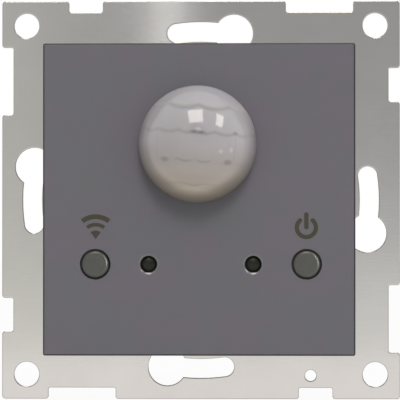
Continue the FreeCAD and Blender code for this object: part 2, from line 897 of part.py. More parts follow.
def make_fuse():
    x, z = fuse_place
    return disc(fuse_d, power_board_rear, power_board_rear + fuse_height, x, z)


def make_terminal_block():
    body = block(-block_half, block_half, block_y0, housing_depth, block_bottom, block_top)
    body = body.common(rear_barrel())
    entry_y = bar_y0 - wire_gap / 2
    half_cavity = cage_width / 2 + cage_clear
    half_bar = bar_width / 2 + bar_clear
    tools = []
    for x in terminal_xs:
        tools.append(block(x - half_cavity, x + half_cavity, cavity_y0, cavity_y1, cavity_z0, cavity_z1))
        tools.append(block(x - half_bar, x + half_bar, bar_y0 - bar_clear, bar_y1 + bar_clear,
                           cavity_z0, leg_z1 + bar_clear))
        tools.append(bar_leg_slot(x, block_y0 - past, bar_y1 + bar_clear))
        tools.append(disc(terminal_screw_d + 2 * terminal_gap, cavity_y1 - past, well_y0 + past, x, cage_z))
        tools.append(disc(terminal_head_d + 2 * terminal_gap, well_y0, housing_depth - lip_thk, x, cage_z))
        tools.append(disc(lip_opening_d, head_y1, housing_depth + past, x, cage_z))
        tools.append(Part.makeCylinder(wire_entry_d / 2, entry_wall + 2 * past,
                                       FreeCAD.Vector(x, entry_y, block_bottom - past),
                                       FreeCAD.Vector(0, 0, 1)))
    for x in block_screw_xs:
        tools.append(disc(block_screw_d + 4 * block_screw_clear, block_y0 - past, housing_depth, x, cage_z))
        tools.append(disc(block_screw_head_d + 4 * block_screw_clear, block_y0 + block_screw_seat,
                          housing_depth + past, x, cage_z))
    return cut(body, tools)


def make_block_screws():
    screws = []
    seat = block_y0 + block_screw_seat
    top = seat + block_screw_head_thk
    for x in block_screw_xs:
        screw = join([disc(block_screw_d, block_pilot_y0 + block_screw_clear, seat, x, cage_z),
                      disc(block_screw_head_d, seat, top, x, cage_z)])
        screws.append(cut(screw, [
            driver_slot(x, cage_z, block_screw_head_d, top - block_screw_head_thk / 2, top + past,
                        block_screw_d / 3),
        ]))
    return Part.makeCompound(screws)


# Each bar lies through its cage and turns down to the power board
def make_terminal_bars():
    bars = []
    for x in terminal_xs:
        x0, x1 = x - bar_width / 2, x + bar_width / 2
        bars.append(join([block(x0, x1, bar_y0, bar_y1, cavity_z0, leg_z1),
                          block(x0, x1, power_board_rear, bar_y1, leg_z0, leg_z1)]))
    return Part.makeCompound(bars)


def make_clamp_cage(x):
    half = cage_width / 2
    body = block(x - half, x + half, cage_y0, cage_y1, cage_z0, cage_z1)
    inner = half - cage_side_wall
    return cut(body, [
        block(x - inner, x + inner, cage_y0 + cage_floor_thk, cage_y1 - cage_nut_thk,
              cage_z0 - past, cage_z1 + past),
        disc(terminal_screw_d + 2 * thread_clear, cage_y1 - cage_nut_thk - past, cage_y1 + past, x, cage_z),
    ])


def make_terminal_screw(x):
    screw = join([disc(terminal_screw_d, bar_y1 + bar_tip_gap, head_y0, x, cage_z),
                  disc(terminal_head_d, head_y0, head_y1, x, cage_z)])
    return cut(screw, [driver_slot(x, cage_z, terminal_head_d, head_y1 - terminal_slot_depth,
                                   head_y1 + past, terminal_slot_width)])


parts = {
    "support_ring": make_support_ring(),
    "ring_rivets": make_rivets(),
    "insert_housing": make_housing(),
    "base_cover": make_base_cover(),
    "base_screws": make_base_screws(),
    "leg_springs": make_leg_springs(),
    "header_socket": make_header_socket(),
    "power_board": make_power_board(),
    "relay": on_power_board(relay_size, relay_place),
    "transformer": make_transformer(),
    "filter_capacitor": on_power_board(filter_capacitor_size, filter_capacitor_place),
    "buffer_capacitor": make_buffer_capacitor(),
    "varistor": make_varistor(),
    "fuse": make_fuse(),
    "terminal_block": make_terminal_block(),
    "terminal_block_screws": make_block_screws(),
    "terminal_bars": make_terminal_bars(),
    "cover_plate": make_cover_plate(),
    "lens_dome": make_lens_dome(),
    "lens_retainer": make_lens_retainer(),
    "sensor_board": make_sensor_board(),
    "pir_spacer": make_pir_spacer(),
    "pir_can": make_pir_can(),
    "pir_filter_window": make_pir_filter_window(),
    "pir_leads": make_pir_leads(),
    "status_light_pipe": make_light_pipe(window_xs[0]),
    "daylight_light_pipe": make_light_pipe(window_xs[1]),
    "status_led": make_status_led(),
    "daylight_sensor": make_daylight_sensor(),
    "radio_module": make_radio_module(),
    "radio_shield": make_radio_shield(),
    "board_chips": make_board_chips(),
    "header_strip": make_header_strip(),
    "header_pins": make_header_pins(),
    "head_back_cover": make_head_back(),
    "head_screws": make_head_screws(),
}
for name, x in zip(("wireless", "power"), button_xs):
    parts[name + "_button"] = make_button(x)
    parts[name + "_plunger"] = make_plunger(x)
    parts[name + "_switch"] = make_switch(x)
    parts[name + "_snap_dome"] = make_snap_dome(x)
for number, x in enumerate(terminal_xs, 1):
    parts["terminal_screw_" + str(number)] = make_terminal_screw(x)
    parts["clamp_cage_" + str(number)] = make_clamp_cage(x)

os.makedirs("parts", exist_ok=True)
for name, shape in parts.items():
    shape.exportStep("parts/" + name + ".step")
    print(name, len(shape.Solids), round(shape.Volume, 2), shape.isValid())
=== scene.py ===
import json
import math

import bmesh
import bpy
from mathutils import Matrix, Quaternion, Vector


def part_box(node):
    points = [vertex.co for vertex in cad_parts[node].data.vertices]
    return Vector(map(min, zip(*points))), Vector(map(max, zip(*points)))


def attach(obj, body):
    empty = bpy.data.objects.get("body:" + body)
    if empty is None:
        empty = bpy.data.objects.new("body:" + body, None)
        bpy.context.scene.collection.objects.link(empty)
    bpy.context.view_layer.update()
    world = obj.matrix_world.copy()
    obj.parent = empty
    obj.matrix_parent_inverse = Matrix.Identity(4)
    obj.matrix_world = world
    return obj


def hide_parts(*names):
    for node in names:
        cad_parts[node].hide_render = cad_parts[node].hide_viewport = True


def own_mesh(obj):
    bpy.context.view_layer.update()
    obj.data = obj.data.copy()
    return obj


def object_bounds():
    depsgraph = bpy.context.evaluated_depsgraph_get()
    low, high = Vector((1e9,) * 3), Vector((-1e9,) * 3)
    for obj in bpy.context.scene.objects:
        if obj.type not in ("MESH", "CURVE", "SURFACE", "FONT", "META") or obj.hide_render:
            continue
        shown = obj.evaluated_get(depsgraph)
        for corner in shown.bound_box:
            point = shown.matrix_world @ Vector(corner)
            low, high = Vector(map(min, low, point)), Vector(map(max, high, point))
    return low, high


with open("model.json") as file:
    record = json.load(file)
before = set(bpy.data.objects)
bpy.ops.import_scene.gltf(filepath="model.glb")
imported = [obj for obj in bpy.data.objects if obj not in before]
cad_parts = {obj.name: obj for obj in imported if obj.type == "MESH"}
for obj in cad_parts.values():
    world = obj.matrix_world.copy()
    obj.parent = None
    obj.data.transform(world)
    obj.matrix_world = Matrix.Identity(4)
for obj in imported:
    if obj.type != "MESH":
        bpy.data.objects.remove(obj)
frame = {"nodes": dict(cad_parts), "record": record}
cadLow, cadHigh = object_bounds()
print("frame loaded:", len(frame["nodes"]), "CAD nodes")

scene = bpy.context.scene
scene.view_settings.view_transform = "Standard"
mm = 0.001


def hexToLinear(code):
    # "#rrggbb" as the eye sees it, to the linear values that the shader wants
    levels = [int(code[i:i + 2], 16) / 255 for i in (1, 3, 5)]
    return tuple(v / 12.92 if v <= 0.04045 else ((v + 0.055) / 1.055) ** 2.4 for v in levels) + (1.0,)


def addNode(tree, kind, settings=None, inputs=None, stops=None):
    # inputs are plain values, or sockets of other nodes to link from
    node = tree.nodes.new("ShaderNode" + kind)
    for name, value in (settings or {}).items():
        setattr(node, name, value)
    for place, value in (inputs or {}).items():
        if isinstance(value, bpy.types.NodeSocket):
            tree.links.new(value, node.inputs[place])
        else:
            node.inputs[place].default_value = value
    if stops:
        ramp = node.color_ramp
        while len(ramp.elements) < len(stops):
            ramp.elements.new(1.0)
        for element, (position, level) in zip(ramp.elements, stops):
            element.position = position
            element.color = (level,) * 3 + (1.0,) if isinstance(level, float) else level
    return node


def span(way, ends, unit=1.0, start=0.0):
    # the From or To pair of a Map Range, its ends in a unit and counted from a start
    return {way + " Min": start + ends[0] * unit, way + " Max": start + ends[1] * unit}


def newMaterial(name):
    material = bpy.data.materials.new(name)
    material.use_nodes = True
    material.node_tree.nodes.clear()
    return material, material.node_tree


# Finishes. Object coordinates are metres in the part's own frame, so a pattern of p mm has a scale near
# 1000 / p. The real grain of moulds, lacquer and brushing is too fine to show here, so it is drawn coarser.
# A Mix of colours takes its share at socket 0 and its colours at 6 and 7, and gives the result at output 2.
colours = {"data_type": "RGBA"}
stain = {"data_type": "RGBA", "blend_type": "MULTIPLY"}
smooth = {"interpolation_type": "SMOOTHSTEP"}
times, timesPlus, plus = {"operation": "MULTIPLY"}, {"operation": "MULTIPLY_ADD"}, {"operation": "ADD"}
minus, absolute, larger = {"operation": "SUBTRACT"}, {"operation": "ABSOLUTE"}, {"operation": "MAXIMUM"}
noiseSpan = span("From", (0.3, 0.7))   # most of a noise lies between these
black, white = (0, 0, 0, 1), (1, 1, 1, 1)


def mouldedPlastic(look):
    # injection-moulded plastic: spark-eroded grain from the tool, slow drift of tone, softened edges
    material, tree = newMaterial(look["made"])
    place = addNode(tree, "TexCoord").outputs["Object"]
    cloud = addNode(tree, "TexNoise", inputs={
        "Vector": place, "Scale": 1 / (look["cloudMm"] * mm), "Detail": 3.0, "Roughness": 0.55})
    grain = addNode(tree, "TexNoise", inputs={
        "Vector": place, "Scale": 1 / (look["grainMm"] * mm), "Detail": 2.0, "Roughness": 0.6})
    tone = addNode(tree, "Mix", colours, {
        0: cloud.outputs["Fac"], 6: hexToLinear(look["dark"]), 7: hexToLinear(look["light"])})
    shine = addNode(tree, "MapRange", inputs={
        "Value": grain.outputs["Fac"], **noiseSpan, **span("To", look["uneven"], start=look["roughness"])})
    edge = addNode(tree, "Bevel", {"samples": 6}, {"Radius": look["edgeMm"] * mm})
    bump = addNode(tree, "Bump", inputs={
        "Strength": look["bump"], "Distance": look["grainMm"] * mm * look["grainDeep"],
        "Height": grain.outputs["Fac"], "Normal": edge.outputs["Normal"]})
    shader = addNode(tree, "BsdfPrincipled", inputs={
        "Base Color": tone.outputs[2], "Roughness": shine.outputs["Result"],
        "IOR": look["ior"], "Normal": bump.outputs["Normal"]})
    addNode(tree, "OutputMaterial", inputs={"Surface": shader.outputs["BSDF"]})
    return material


def printedBoard(look):
    # glass-fibre laminate: green solder mask over faint copper tracks and tinned holes, bare yellowish edges
    material, tree = newMaterial("glassFibreLaminate")
    place = addNode(tree, "TexCoord").outputs["Object"]
    # the boards lie flat to the front, so tracks run across X and Z
    flat = addNode(tree, "Mapping", inputs={
        "Vector": place, "Rotation": (math.pi / 2, 0, 0), "Scale": (1 / (look["trackMm"] * mm),) * 3})
    tracks = addNode(tree, "TexBrick", {
        "offset": 0.37, "offset_frequency": 2, "squash": 0.6, "squash_frequency": 3}, {
        "Vector": flat.outputs["Vector"], "Scale": 1.0, "Mortar Size": look["trackWide"],
        "Mortar Smooth": 0.05, "Brick Width": look["trackLong"], "Row Height": look["trackApart"],
        "Color1": black, "Color2": black, "Mortar": white})
    cloud = addNode(tree, "TexNoise", inputs={
        "Vector": place, "Scale": 1 / (look["cloudMm"] * mm), "Detail": 3.0})
    mask = addNode(tree, "Mix", colours, {
        0: cloud.outputs["Fac"], 6: hexToLinear(look["dark"]), 7: hexToLinear(look["light"])})
    copper = addNode(tree, "Mix", colours, {
        0: tracks.outputs["Color"], 6: mask.outputs[2], 7: hexToLinear(look["track"])})
    holes = addNode(tree, "TexVoronoi", inputs={"Vector": flat.outputs["Vector"], "Scale": look["holeShare"]})
    hole = addNode(tree, "MapRange", inputs={
        "Value": holes.outputs["Distance"], **span("From", look["holeSpan"])})
    tinned = addNode(tree, "Mix", colours, {
        0: hole.outputs["Result"], 6: copper.outputs[2], 7: hexToLinear(look["tin"])})
    # the cut sides of a board don't face forward or back
    surface = addNode(tree, "NewGeometry")
    facing = addNode(tree, "SeparateXYZ", inputs={0: surface.outputs["Normal"]})
    level = addNode(tree, "Math", absolute, {0: facing.outputs["Y"]})
    side = addNode(tree, "MapRange", inputs={"Value": level.outputs[0], **span("From", look["sideSpan"])})
    whole = addNode(tree, "Mix", colours, {
        0: side.outputs["Result"], 6: tinned.outputs[2], 7: hexToLinear(look["laminate"])})
    shine = addNode(tree, "MapRange", inputs={
        "Value": cloud.outputs["Fac"], **span("To", look["roughness"])})
    bump = addNode(tree, "Bump", inputs={
        "Strength": look["bump"], "Distance": look["trackHighMm"] * mm, "Height": tracks.outputs["Color"]})
    shader = addNode(tree, "BsdfPrincipled", inputs={
        "Base Color": whole.outputs[2], "Roughness": shine.outputs["Result"],
        "Metallic": hole.outputs["Result"], "IOR": look["ior"], "Normal": bump.outputs["Normal"]})
    addNode(tree, "OutputMaterial", inputs={"Surface": shader.outputs["BSDF"]})
    return material


def platedMetal(look):
    # plated, rolled or turned small metal: fine lines along one axis, cloudy plating
    material, tree = newMaterial(look["made"])
    place = addNode(tree, "TexCoord").outputs["Object"]
    lay = addNode(tree, "Mapping", inputs={"Vector": place, "Scale": look["lay"]})
    lines = addNode(tree, "TexNoise", inputs={
        "Vector": lay.outputs["Vector"], "Scale": 1 / (look["lineMm"] * mm), "Detail": 2.0})
    cloud = addNode(tree, "TexNoise", inputs={
        "Vector": place, "Scale": 1 / (look["cloudMm"] * mm), "Detail": 3.0})
    tone = addNode(tree, "Mix", colours, {
        0: cloud.outputs["Fac"], 6: hexToLinear(look["dark"]), 7: hexToLinear(look["light"])})
    shine = addNode(tree, "MapRange", inputs={
        "Value": lines.outputs["Fac"], **noiseSpan, **span("To", look["uneven"], start=look["roughness"])})
    edge = addNode(tree, "Bevel", {"samples": 6}, {"Radius": look["edgeMm"] * mm})
    bump = addNode(tree, "Bump", inputs={
        "Strength": look["bump"], "Distance": look["lineDeepMm"] * mm, "Height": lines.outputs["Fac"],
        "Normal": edge.outputs["Normal"]})
    shader = addNode(tree, "BsdfPrincipled", inputs={
        "Base Color": tone.outputs[2], "Metallic": 1.0, "Roughness": shine.outputs["Result"],
        "Normal": bump.outputs["Normal"]})
    addNode(tree, "OutputMaterial", inputs={"Surface": shader.outputs["BSDF"]})
    return material


def brushedStainless(look):
    # stamped from rolled and brushed stainless sheet: fine level lines and cloudy patches, and painted shade
    # on the cut edges that the stamp rolled over, standing in for their darker reflection
    material, tree = newMaterial("brushedStainless")
    place = addNode(tree, "TexCoord").outputs["Object"]
    lay = addNode(tree, "Mapping", inputs={"Vector": place, "Scale": look["lay"]})
    lines = addNode(tree, "TexNoise", inputs={
        "Vector": lay.outputs["Vector"], "Scale": 1 / (look["lineMm"] * mm), "Detail": 3.0, "Roughness": 0.6})
    cloud = addNode(tree, "TexNoise", inputs={
        "Vector": place, "Scale": 1 / (look["cloudMm"] * mm), "Detail": 4.0})
    fine = addNode(tree, "Math", timesPlus, {
        0: lines.outputs["Fac"], 1: look["lineShare"], 2: -look["lineShare"] / 2})
    patch = addNode(tree, "Math", {"operation": "ADD", "use_clamp": True}, {
        0: cloud.outputs["Fac"], 1: fine.outputs[0]})
    tone = addNode(tree, "Mix", colours, {
        0: patch.outputs[0], 6: hexToLinear(look["dark"]), 7: hexToLinear(look["light"])})
    edge = addNode(tree, "Bevel", {"samples": 8}, {"Radius": look["edgeMm"] * mm})
    flat = addNode(tree, "NewGeometry")
    lean = addNode(tree, "VectorMath", {"operation": "DOT_PRODUCT"}, {
        0: edge.outputs["Normal"], 1: flat.outputs["Normal"]})
    # painted shade on the rolled-over cut edges, where the bevelled normal leans from the flat one
    darkEdge = addNode(tree, "MapRange", smooth, {
        "Value": lean.outputs["Value"], **span("From", look["edgeLean"]), "To Max": look["edgeDark"]})
    paintedEdgeShade = addNode(tree, "Mix", colours, {
        0: darkEdge.outputs["Result"], 6: tone.outputs[2], 7: hexToLinear(look["edge"])})
    shine = addNode(tree, "MapRange", inputs={
        "Value": lines.outputs["Fac"], **noiseSpan, **span("To", look["uneven"], start=look["roughness"])})
    bump = addNode(tree, "Bump", inputs={
        "Strength": look["bump"], "Distance": look["lineDeepMm"] * mm, "Height": lines.outputs["Fac"],
        "Normal": edge.outputs["Normal"]})
    shader = addNode(tree, "BsdfPrincipled", inputs={
        "Base Color": paintedEdgeShade.outputs[2], "Metallic": 1.0, "Roughness": shine.outputs["Result"],
        "Normal": bump.outputs["Normal"]})
    addNode(tree, "OutputMaterial", inputs={"Surface": shader.outputs["BSDF"]})
    return material


def satinLacquer(look):
    # moulded ABS under a fine matt lacquer: two close greys drift into each other, the edges of the plate
    # run darker, and the chamfers round the windows are polished
    material, tree = newMaterial("lacqueredAbs")
    place = addNode(tree, "TexCoord").outputs["Object"]
    cloud = addNode(tree, "TexNoise", inputs={
        "Vector": place, "Scale": 1 / (look["cloudMm"] * mm), "Detail": 2.0})
    drift = addNode(tree, "MapRange", smooth, {"Value": cloud.outputs["Fac"], **span("From", look["drift"])})
    grain = addNode(tree, "TexNoise", inputs={
        "Vector": place, "Scale": 1 / (look["grainMm"] * mm), "Detail": 2.0, "Roughness": 0.6})
    tone = addNode(tree, "Mix", colours, {
        0: drift.outputs["Result"], 6: hexToLinear(look["cool"]), 7: hexToLinear(look["warm"])})
    # the rounding round the front is told by its depth and by how near it is to the outline
    depth = addNode(tree, "SeparateXYZ", inputs={0: place})
    aside = addNode(tree, "VectorMath", absolute, {0: place})
    sides = addNode(tree, "SeparateXYZ", inputs={0: aside.outputs[0]})
    further = addNode(tree, "Math", larger, {0: sides.outputs["X"], 1: sides.outputs["Z"]})
    inside, rear = look["half"] - look["edgeWide"], look["edgeRear"]
    turned = addNode(tree, "MapRange", smooth, {
        "Value": further.outputs[0], "From Min": inside * mm, "From Max": (inside + look["fadeWide"]) * mm})
    nearFront = addNode(tree, "MapRange", smooth, {
        "Value": depth.outputs["Y"], "From Min": rear * mm, "From Max": (rear - look["fadeDeep"]) * mm})
    darkEdge = addNode(tree, "Math", times, {0: turned.outputs["Result"], 1: nearFront.outputs["Result"]})
    level = addNode(tree, "VectorMath", times, {0: place, 1: (1, 0, 1)})
    reach = None
    for centre in look["windows"]:
        gap = addNode(tree, "VectorMath", {"operation": "DISTANCE"}, {0: level.outputs[0], 1: centre})
        reach = gap.outputs["Value"] if reach is None else addNode(tree, "Math", {"operation": "MINIMUM"}, {
            0: reach, 1: gap.outputs["Value"]}).outputs[0]
    polished = addNode(tree, "MapRange", smooth, {"Value": reach, **span("From", look["chamferSpan"], mm)})
    matt = addNode(tree, "Math", {"operation": "SUBTRACT", "use_clamp": True}, {
        0: darkEdge.outputs[0], 1: polished.outputs["Result"]})
    edged = addNode(tree, "Mix", colours, {
        0: matt.outputs[0], 6: tone.outputs[2], 7: hexToLinear(look["edge"])})
    lit = addNode(tree, "Mix", colours, {
        0: polished.outputs["Result"], 6: edged.outputs[2], 7: hexToLinear(look["chamfer"])})
    shine = addNode(tree, "MapRange", inputs={
        "Value": grain.outputs["Fac"], **noiseSpan, **span("To", look["uneven"], start=look["roughness"])})
    gloss = addNode(tree, "Mix", {"data_type": "FLOAT"}, {
        0: polished.outputs["Result"], 2: shine.outputs["Result"], 3: look["chamferRoughness"]})
    sheen = addNode(tree, "MapRange", inputs={
        "Value": polished.outputs["Result"], **span("To", look["sheen"])})
    bump = addNode(tree, "Bump", inputs={
        "Strength": look["bump"], "Distance": look["grainDeepMm"] * mm, "Height": grain.outputs["Fac"]})
    shader = addNode(tree, "BsdfPrincipled", inputs={
        "Base Color": lit.outputs[2], "Roughness": gloss.outputs[0], "IOR": look["ior"],
        "Specular IOR Level": sheen.outputs["Result"], "Normal": bump.outputs["Normal"]})
    addNode(tree, "OutputMaterial", inputs={"Surface": shader.outputs["BSDF"]})
    return material


def milkyPolyethylene(look):
    # thin milky lens moulding, polished outside: the seams of the fields on its inside show through faintly,
    # and light and shade are painted on it by height
    material, tree = newMaterial("milkyPolyethylene")
    place = addNode(tree, "TexCoord").outputs["Object"]
    turned = addNode(tree, "Mapping", inputs={
        "Vector": place, "Rotation": (0, -math.radians(look["tilt"]), 0),
        "Scale": (1 / (look["outer"] * mm),) * 3})
    axes = addNode(tree, "SeparateXYZ", inputs={0: turned.outputs["Vector"]})
    latitude = addNode(tree, "Math", {"operation": "ARCSINE"}, {0: axes.outputs["Z"]}).outputs[0]
    ahead = addNode(tree, "Math", times, {0: axes.outputs["Y"], 1: -1.0})
    longitude = addNode(tree, "Math", {"operation": "ARCTAN2"}, {
        0: axes.outputs["X"], 1: ahead.outputs[0]}).outputs[0]
    # column number, 0 to 6, along the longitude
    low, high = math.radians(look["columns"][0]), math.radians(look["columns"][-1])
    sweep = addNode(tree, "MapRange", inputs={"Value": longitude, "From Min": low, "From Max": high})
    count = len(look["columns"]) - 1
    table = addNode(tree, "ValToRGB", inputs={0: sweep.outputs["Result"]}, stops=[
        ((math.radians(c) - low) / (high - low), i / count) for i, c in enumerate(look["columns"])])
    column = addNode(tree, "Math", times, {0: table.outputs["Color"], 1: float(count)}).outputs[0]
    # waves that touch 0 at each seam between columns (narrow) or at every second one (wide)
    arcs = {}
    for name, pace in (("narrow", 1.0), ("wide", 0.5)):
        phase = addNode(tree, "Math", timesPlus, {0: column, 1: math.pi * pace, 2: -math.pi * pace})
        wave = addNode(tree, "Math", {"operation": "SINE"}, {0: phase.outputs[0]})
        arcs[name] = addNode(tree, "Math", absolute, {0: wave.outputs[0]}).outputs[0]
    dark = None
    for seam in look["seams"]:
        middle = addNode(tree, "Math", timesPlus, {
            0: arcs[seam["arc"]], 1: math.radians(seam["sag"]), 2: math.radians(seam["at"])})
        off = addNode(tree, "Math", minus, {0: latitude, 1: middle.outputs[0]})
        gap = addNode(tree, "Math", absolute, {0: off.outputs[0]})
        line = addNode(tree, "MapRange", smooth, {
            "Value": gap.outputs[0], "From Min": math.radians(seam["width"]), "From Max": 0.0,
            "To Max": seam["dark"]})
        weight = addNode(tree, "ValToRGB", inputs={0: sweep.outputs["Result"]}, stops=seam["along"])
        part = addNode(tree, "Math", times, {0: line.outputs["Result"], 1: weight.outputs["Color"]})
        dark = part.outputs[0] if dark is None else addNode(tree, "Math", larger, {
            0: dark, 1: part.outputs[0]}).outputs[0]
    # upright seams between the columns of the middle tier
    near = addNode(tree, "MapRange", smooth, {
        "Value": arcs["narrow"], "From Min": look["uprightWide"], "From Max": 0.0, "To Max": look["upright"]})
    height = addNode(tree, "Math", plus, {0: latitude, 1: math.radians(look["uprightMiddle"])})
    height = addNode(tree, "Math", absolute, {0: height.outputs[0]})
    over, within = (math.radians(end) for end in look["uprightEnds"])
    inTier = addNode(tree, "MapRange", smooth, {"Value": height.outputs[0], **span("From", (over, within))})
    outer = addNode(tree, "ValToRGB", inputs={0: sweep.outputs["Result"]}, stops=look["uprightAlong"])
    upright = addNode(tree, "Math", times, {0: near.outputs["Result"], 1: inTier.outputs["Result"]})
    upright = addNode(tree, "Math", times, {0: upright.outputs[0], 1: outer.outputs["Color"]})
    dark = addNode(tree, "Math", larger, {0: dark, 1: upright.outputs[0]}).outputs[0]
    level = addNode(tree, "Math", minus, {0: 1.0, 1: dark}).outputs[0]
    for mark in look["marks"]:
        off = addNode(tree, "VectorMath", minus, {0: turned.outputs["Vector"], 1: mark["at"]})
        shaped = addNode(tree, "VectorMath", times, {0: off.outputs[0], 1: mark["stretch"]})
        size = addNode(tree, "VectorMath", {"operation": "LENGTH"}, {0: shaped.outputs[0]})
        spot = addNode(tree, "MapRange", smooth, {
            "Value": size.outputs["Value"], "From Min": mark["radius"],
            "From Max": mark["radius"] * look["markCore"], "To Max": mark["gain"]})
        level = addNode(tree, "Math", plus, {0: level, 1: spot.outputs["Result"]}).outputs[0]
    # painted light: the milk's tint by height, warmer towards the bottom and cooler and lighter towards the
    # top
    climb = addNode(tree, "MapRange", inputs={"Value": axes.outputs["Z"], "From Min": -1.0, "From Max": 1.0})
    milkAndPaintedTint = addNode(tree, "ValToRGB", inputs={0: climb.outputs["Result"]}, stops=[
        (at, hexToLinear(code)) for at, code in look["milkAndPaintedTint"]])
    cap = addNode(tree, "Math", timesPlus, {
        0: arcs["wide"], 1: math.radians(look["seams"][0]["sag"]), 2: math.radians(look["seams"][0]["at"])})
    above = addNode(tree, "Math", minus, {0: latitude, 1: cap.outputs[0]})
    climbCap = addNode(tree, "MapRange", inputs={"Value": above.outputs[0], **span("From", look["capSpan"])})
    capTone = addNode(tree, "ValToRGB", inputs={0: climbCap.outputs["Result"]}, stops=look["capGain"])
    cream = addNode(tree, "ValToRGB", inputs={0: climbCap.outputs["Result"]}, stops=look["capTint"])
    milkAndPaintedTint = addNode(tree, "Mix", stain, {0: 1.0, 6: milkAndPaintedTint.outputs["Color"], 7: cream.outputs["Color"]})
    lifted = addNode(tree, "Math", times, {0: level, 1: capTone.outputs["Color"]})
    doubled = addNode(tree, "Math", times, {0: lifted.outputs[0], 1: 2.0})   # the cap's ramp holds halves
    # painted shading: towards its foot the wall is painted darker, most at the bottom and less at the sides,
    # and lighter at the top, as light falls from above. A ramp holds no more than 1, so these hold shares of
    # the peak.
    paintedShadings = []
    for name in ("paintedShadingLow", "paintedShadingSide", "paintedShadingHigh"):
        shares = [(at, light / look["paintedShadingPeak"]) for at, light in look[name]]
        paintedShadings.append(addNode(tree, "ValToRGB", inputs={0: ahead.outputs[0]}, stops=shares).outputs["Color"])
    paintedShading = paintedShadings[0]
    for upper, ends in zip(paintedShadings[1:], look["paintedShadingBlends"]):
        share = addNode(tree, "MapRange", smooth, {"Value": axes.outputs["Z"], **span("From", ends)})
        paintedShading = addNode(tree, "Mix", colours, {0: share.outputs["Result"], 6: paintedShading, 7: upper}).outputs[2]
    shaded = addNode(tree, "Math", times, {0: doubled.outputs[0], 1: paintedShading})
    shaded = addNode(tree, "Math", times, {0: shaded.outputs[0], 1: look["paintedShadingPeak"]})
    tone = addNode(tree, "Mix", stain, {0: 1.0, 6: milkAndPaintedTint.outputs[2], 7: shaded.outputs[0]})
    haze = addNode(tree, "TexNoise", inputs={
        "Vector": place, "Scale": 1 / (look["hazeMm"] * mm), "Detail": 2.0})
    shine = addNode(tree, "MapRange", inputs={
        "Value": haze.outputs["Fac"], **span("To", look["uneven"], start=look["roughness"])})
    # the polish of the tool stops short of the foot, so the sheen fades there
    sheen = addNode(tree, "MapRange", smooth, {
        "Value": ahead.outputs[0], **span("From", look["polishSpan"]), "To Max": look["sheen"]})
    shader = addNode(tree, "BsdfPrincipled", inputs={
        "Base Color": tone.outputs[2], "Roughness": shine.outputs["Result"], "IOR": look["ior"],
        "Specular IOR Level": sheen.outputs["Result"], "Subsurface Weight": look["milkiness"],
        "Subsurface Radius": look["glow"], "Subsurface Scale": look["glowMm"] * mm})
    addNode(tree, "OutputMaterial", inputs={"Surface": shader.outputs["BSDF"]})
    return material


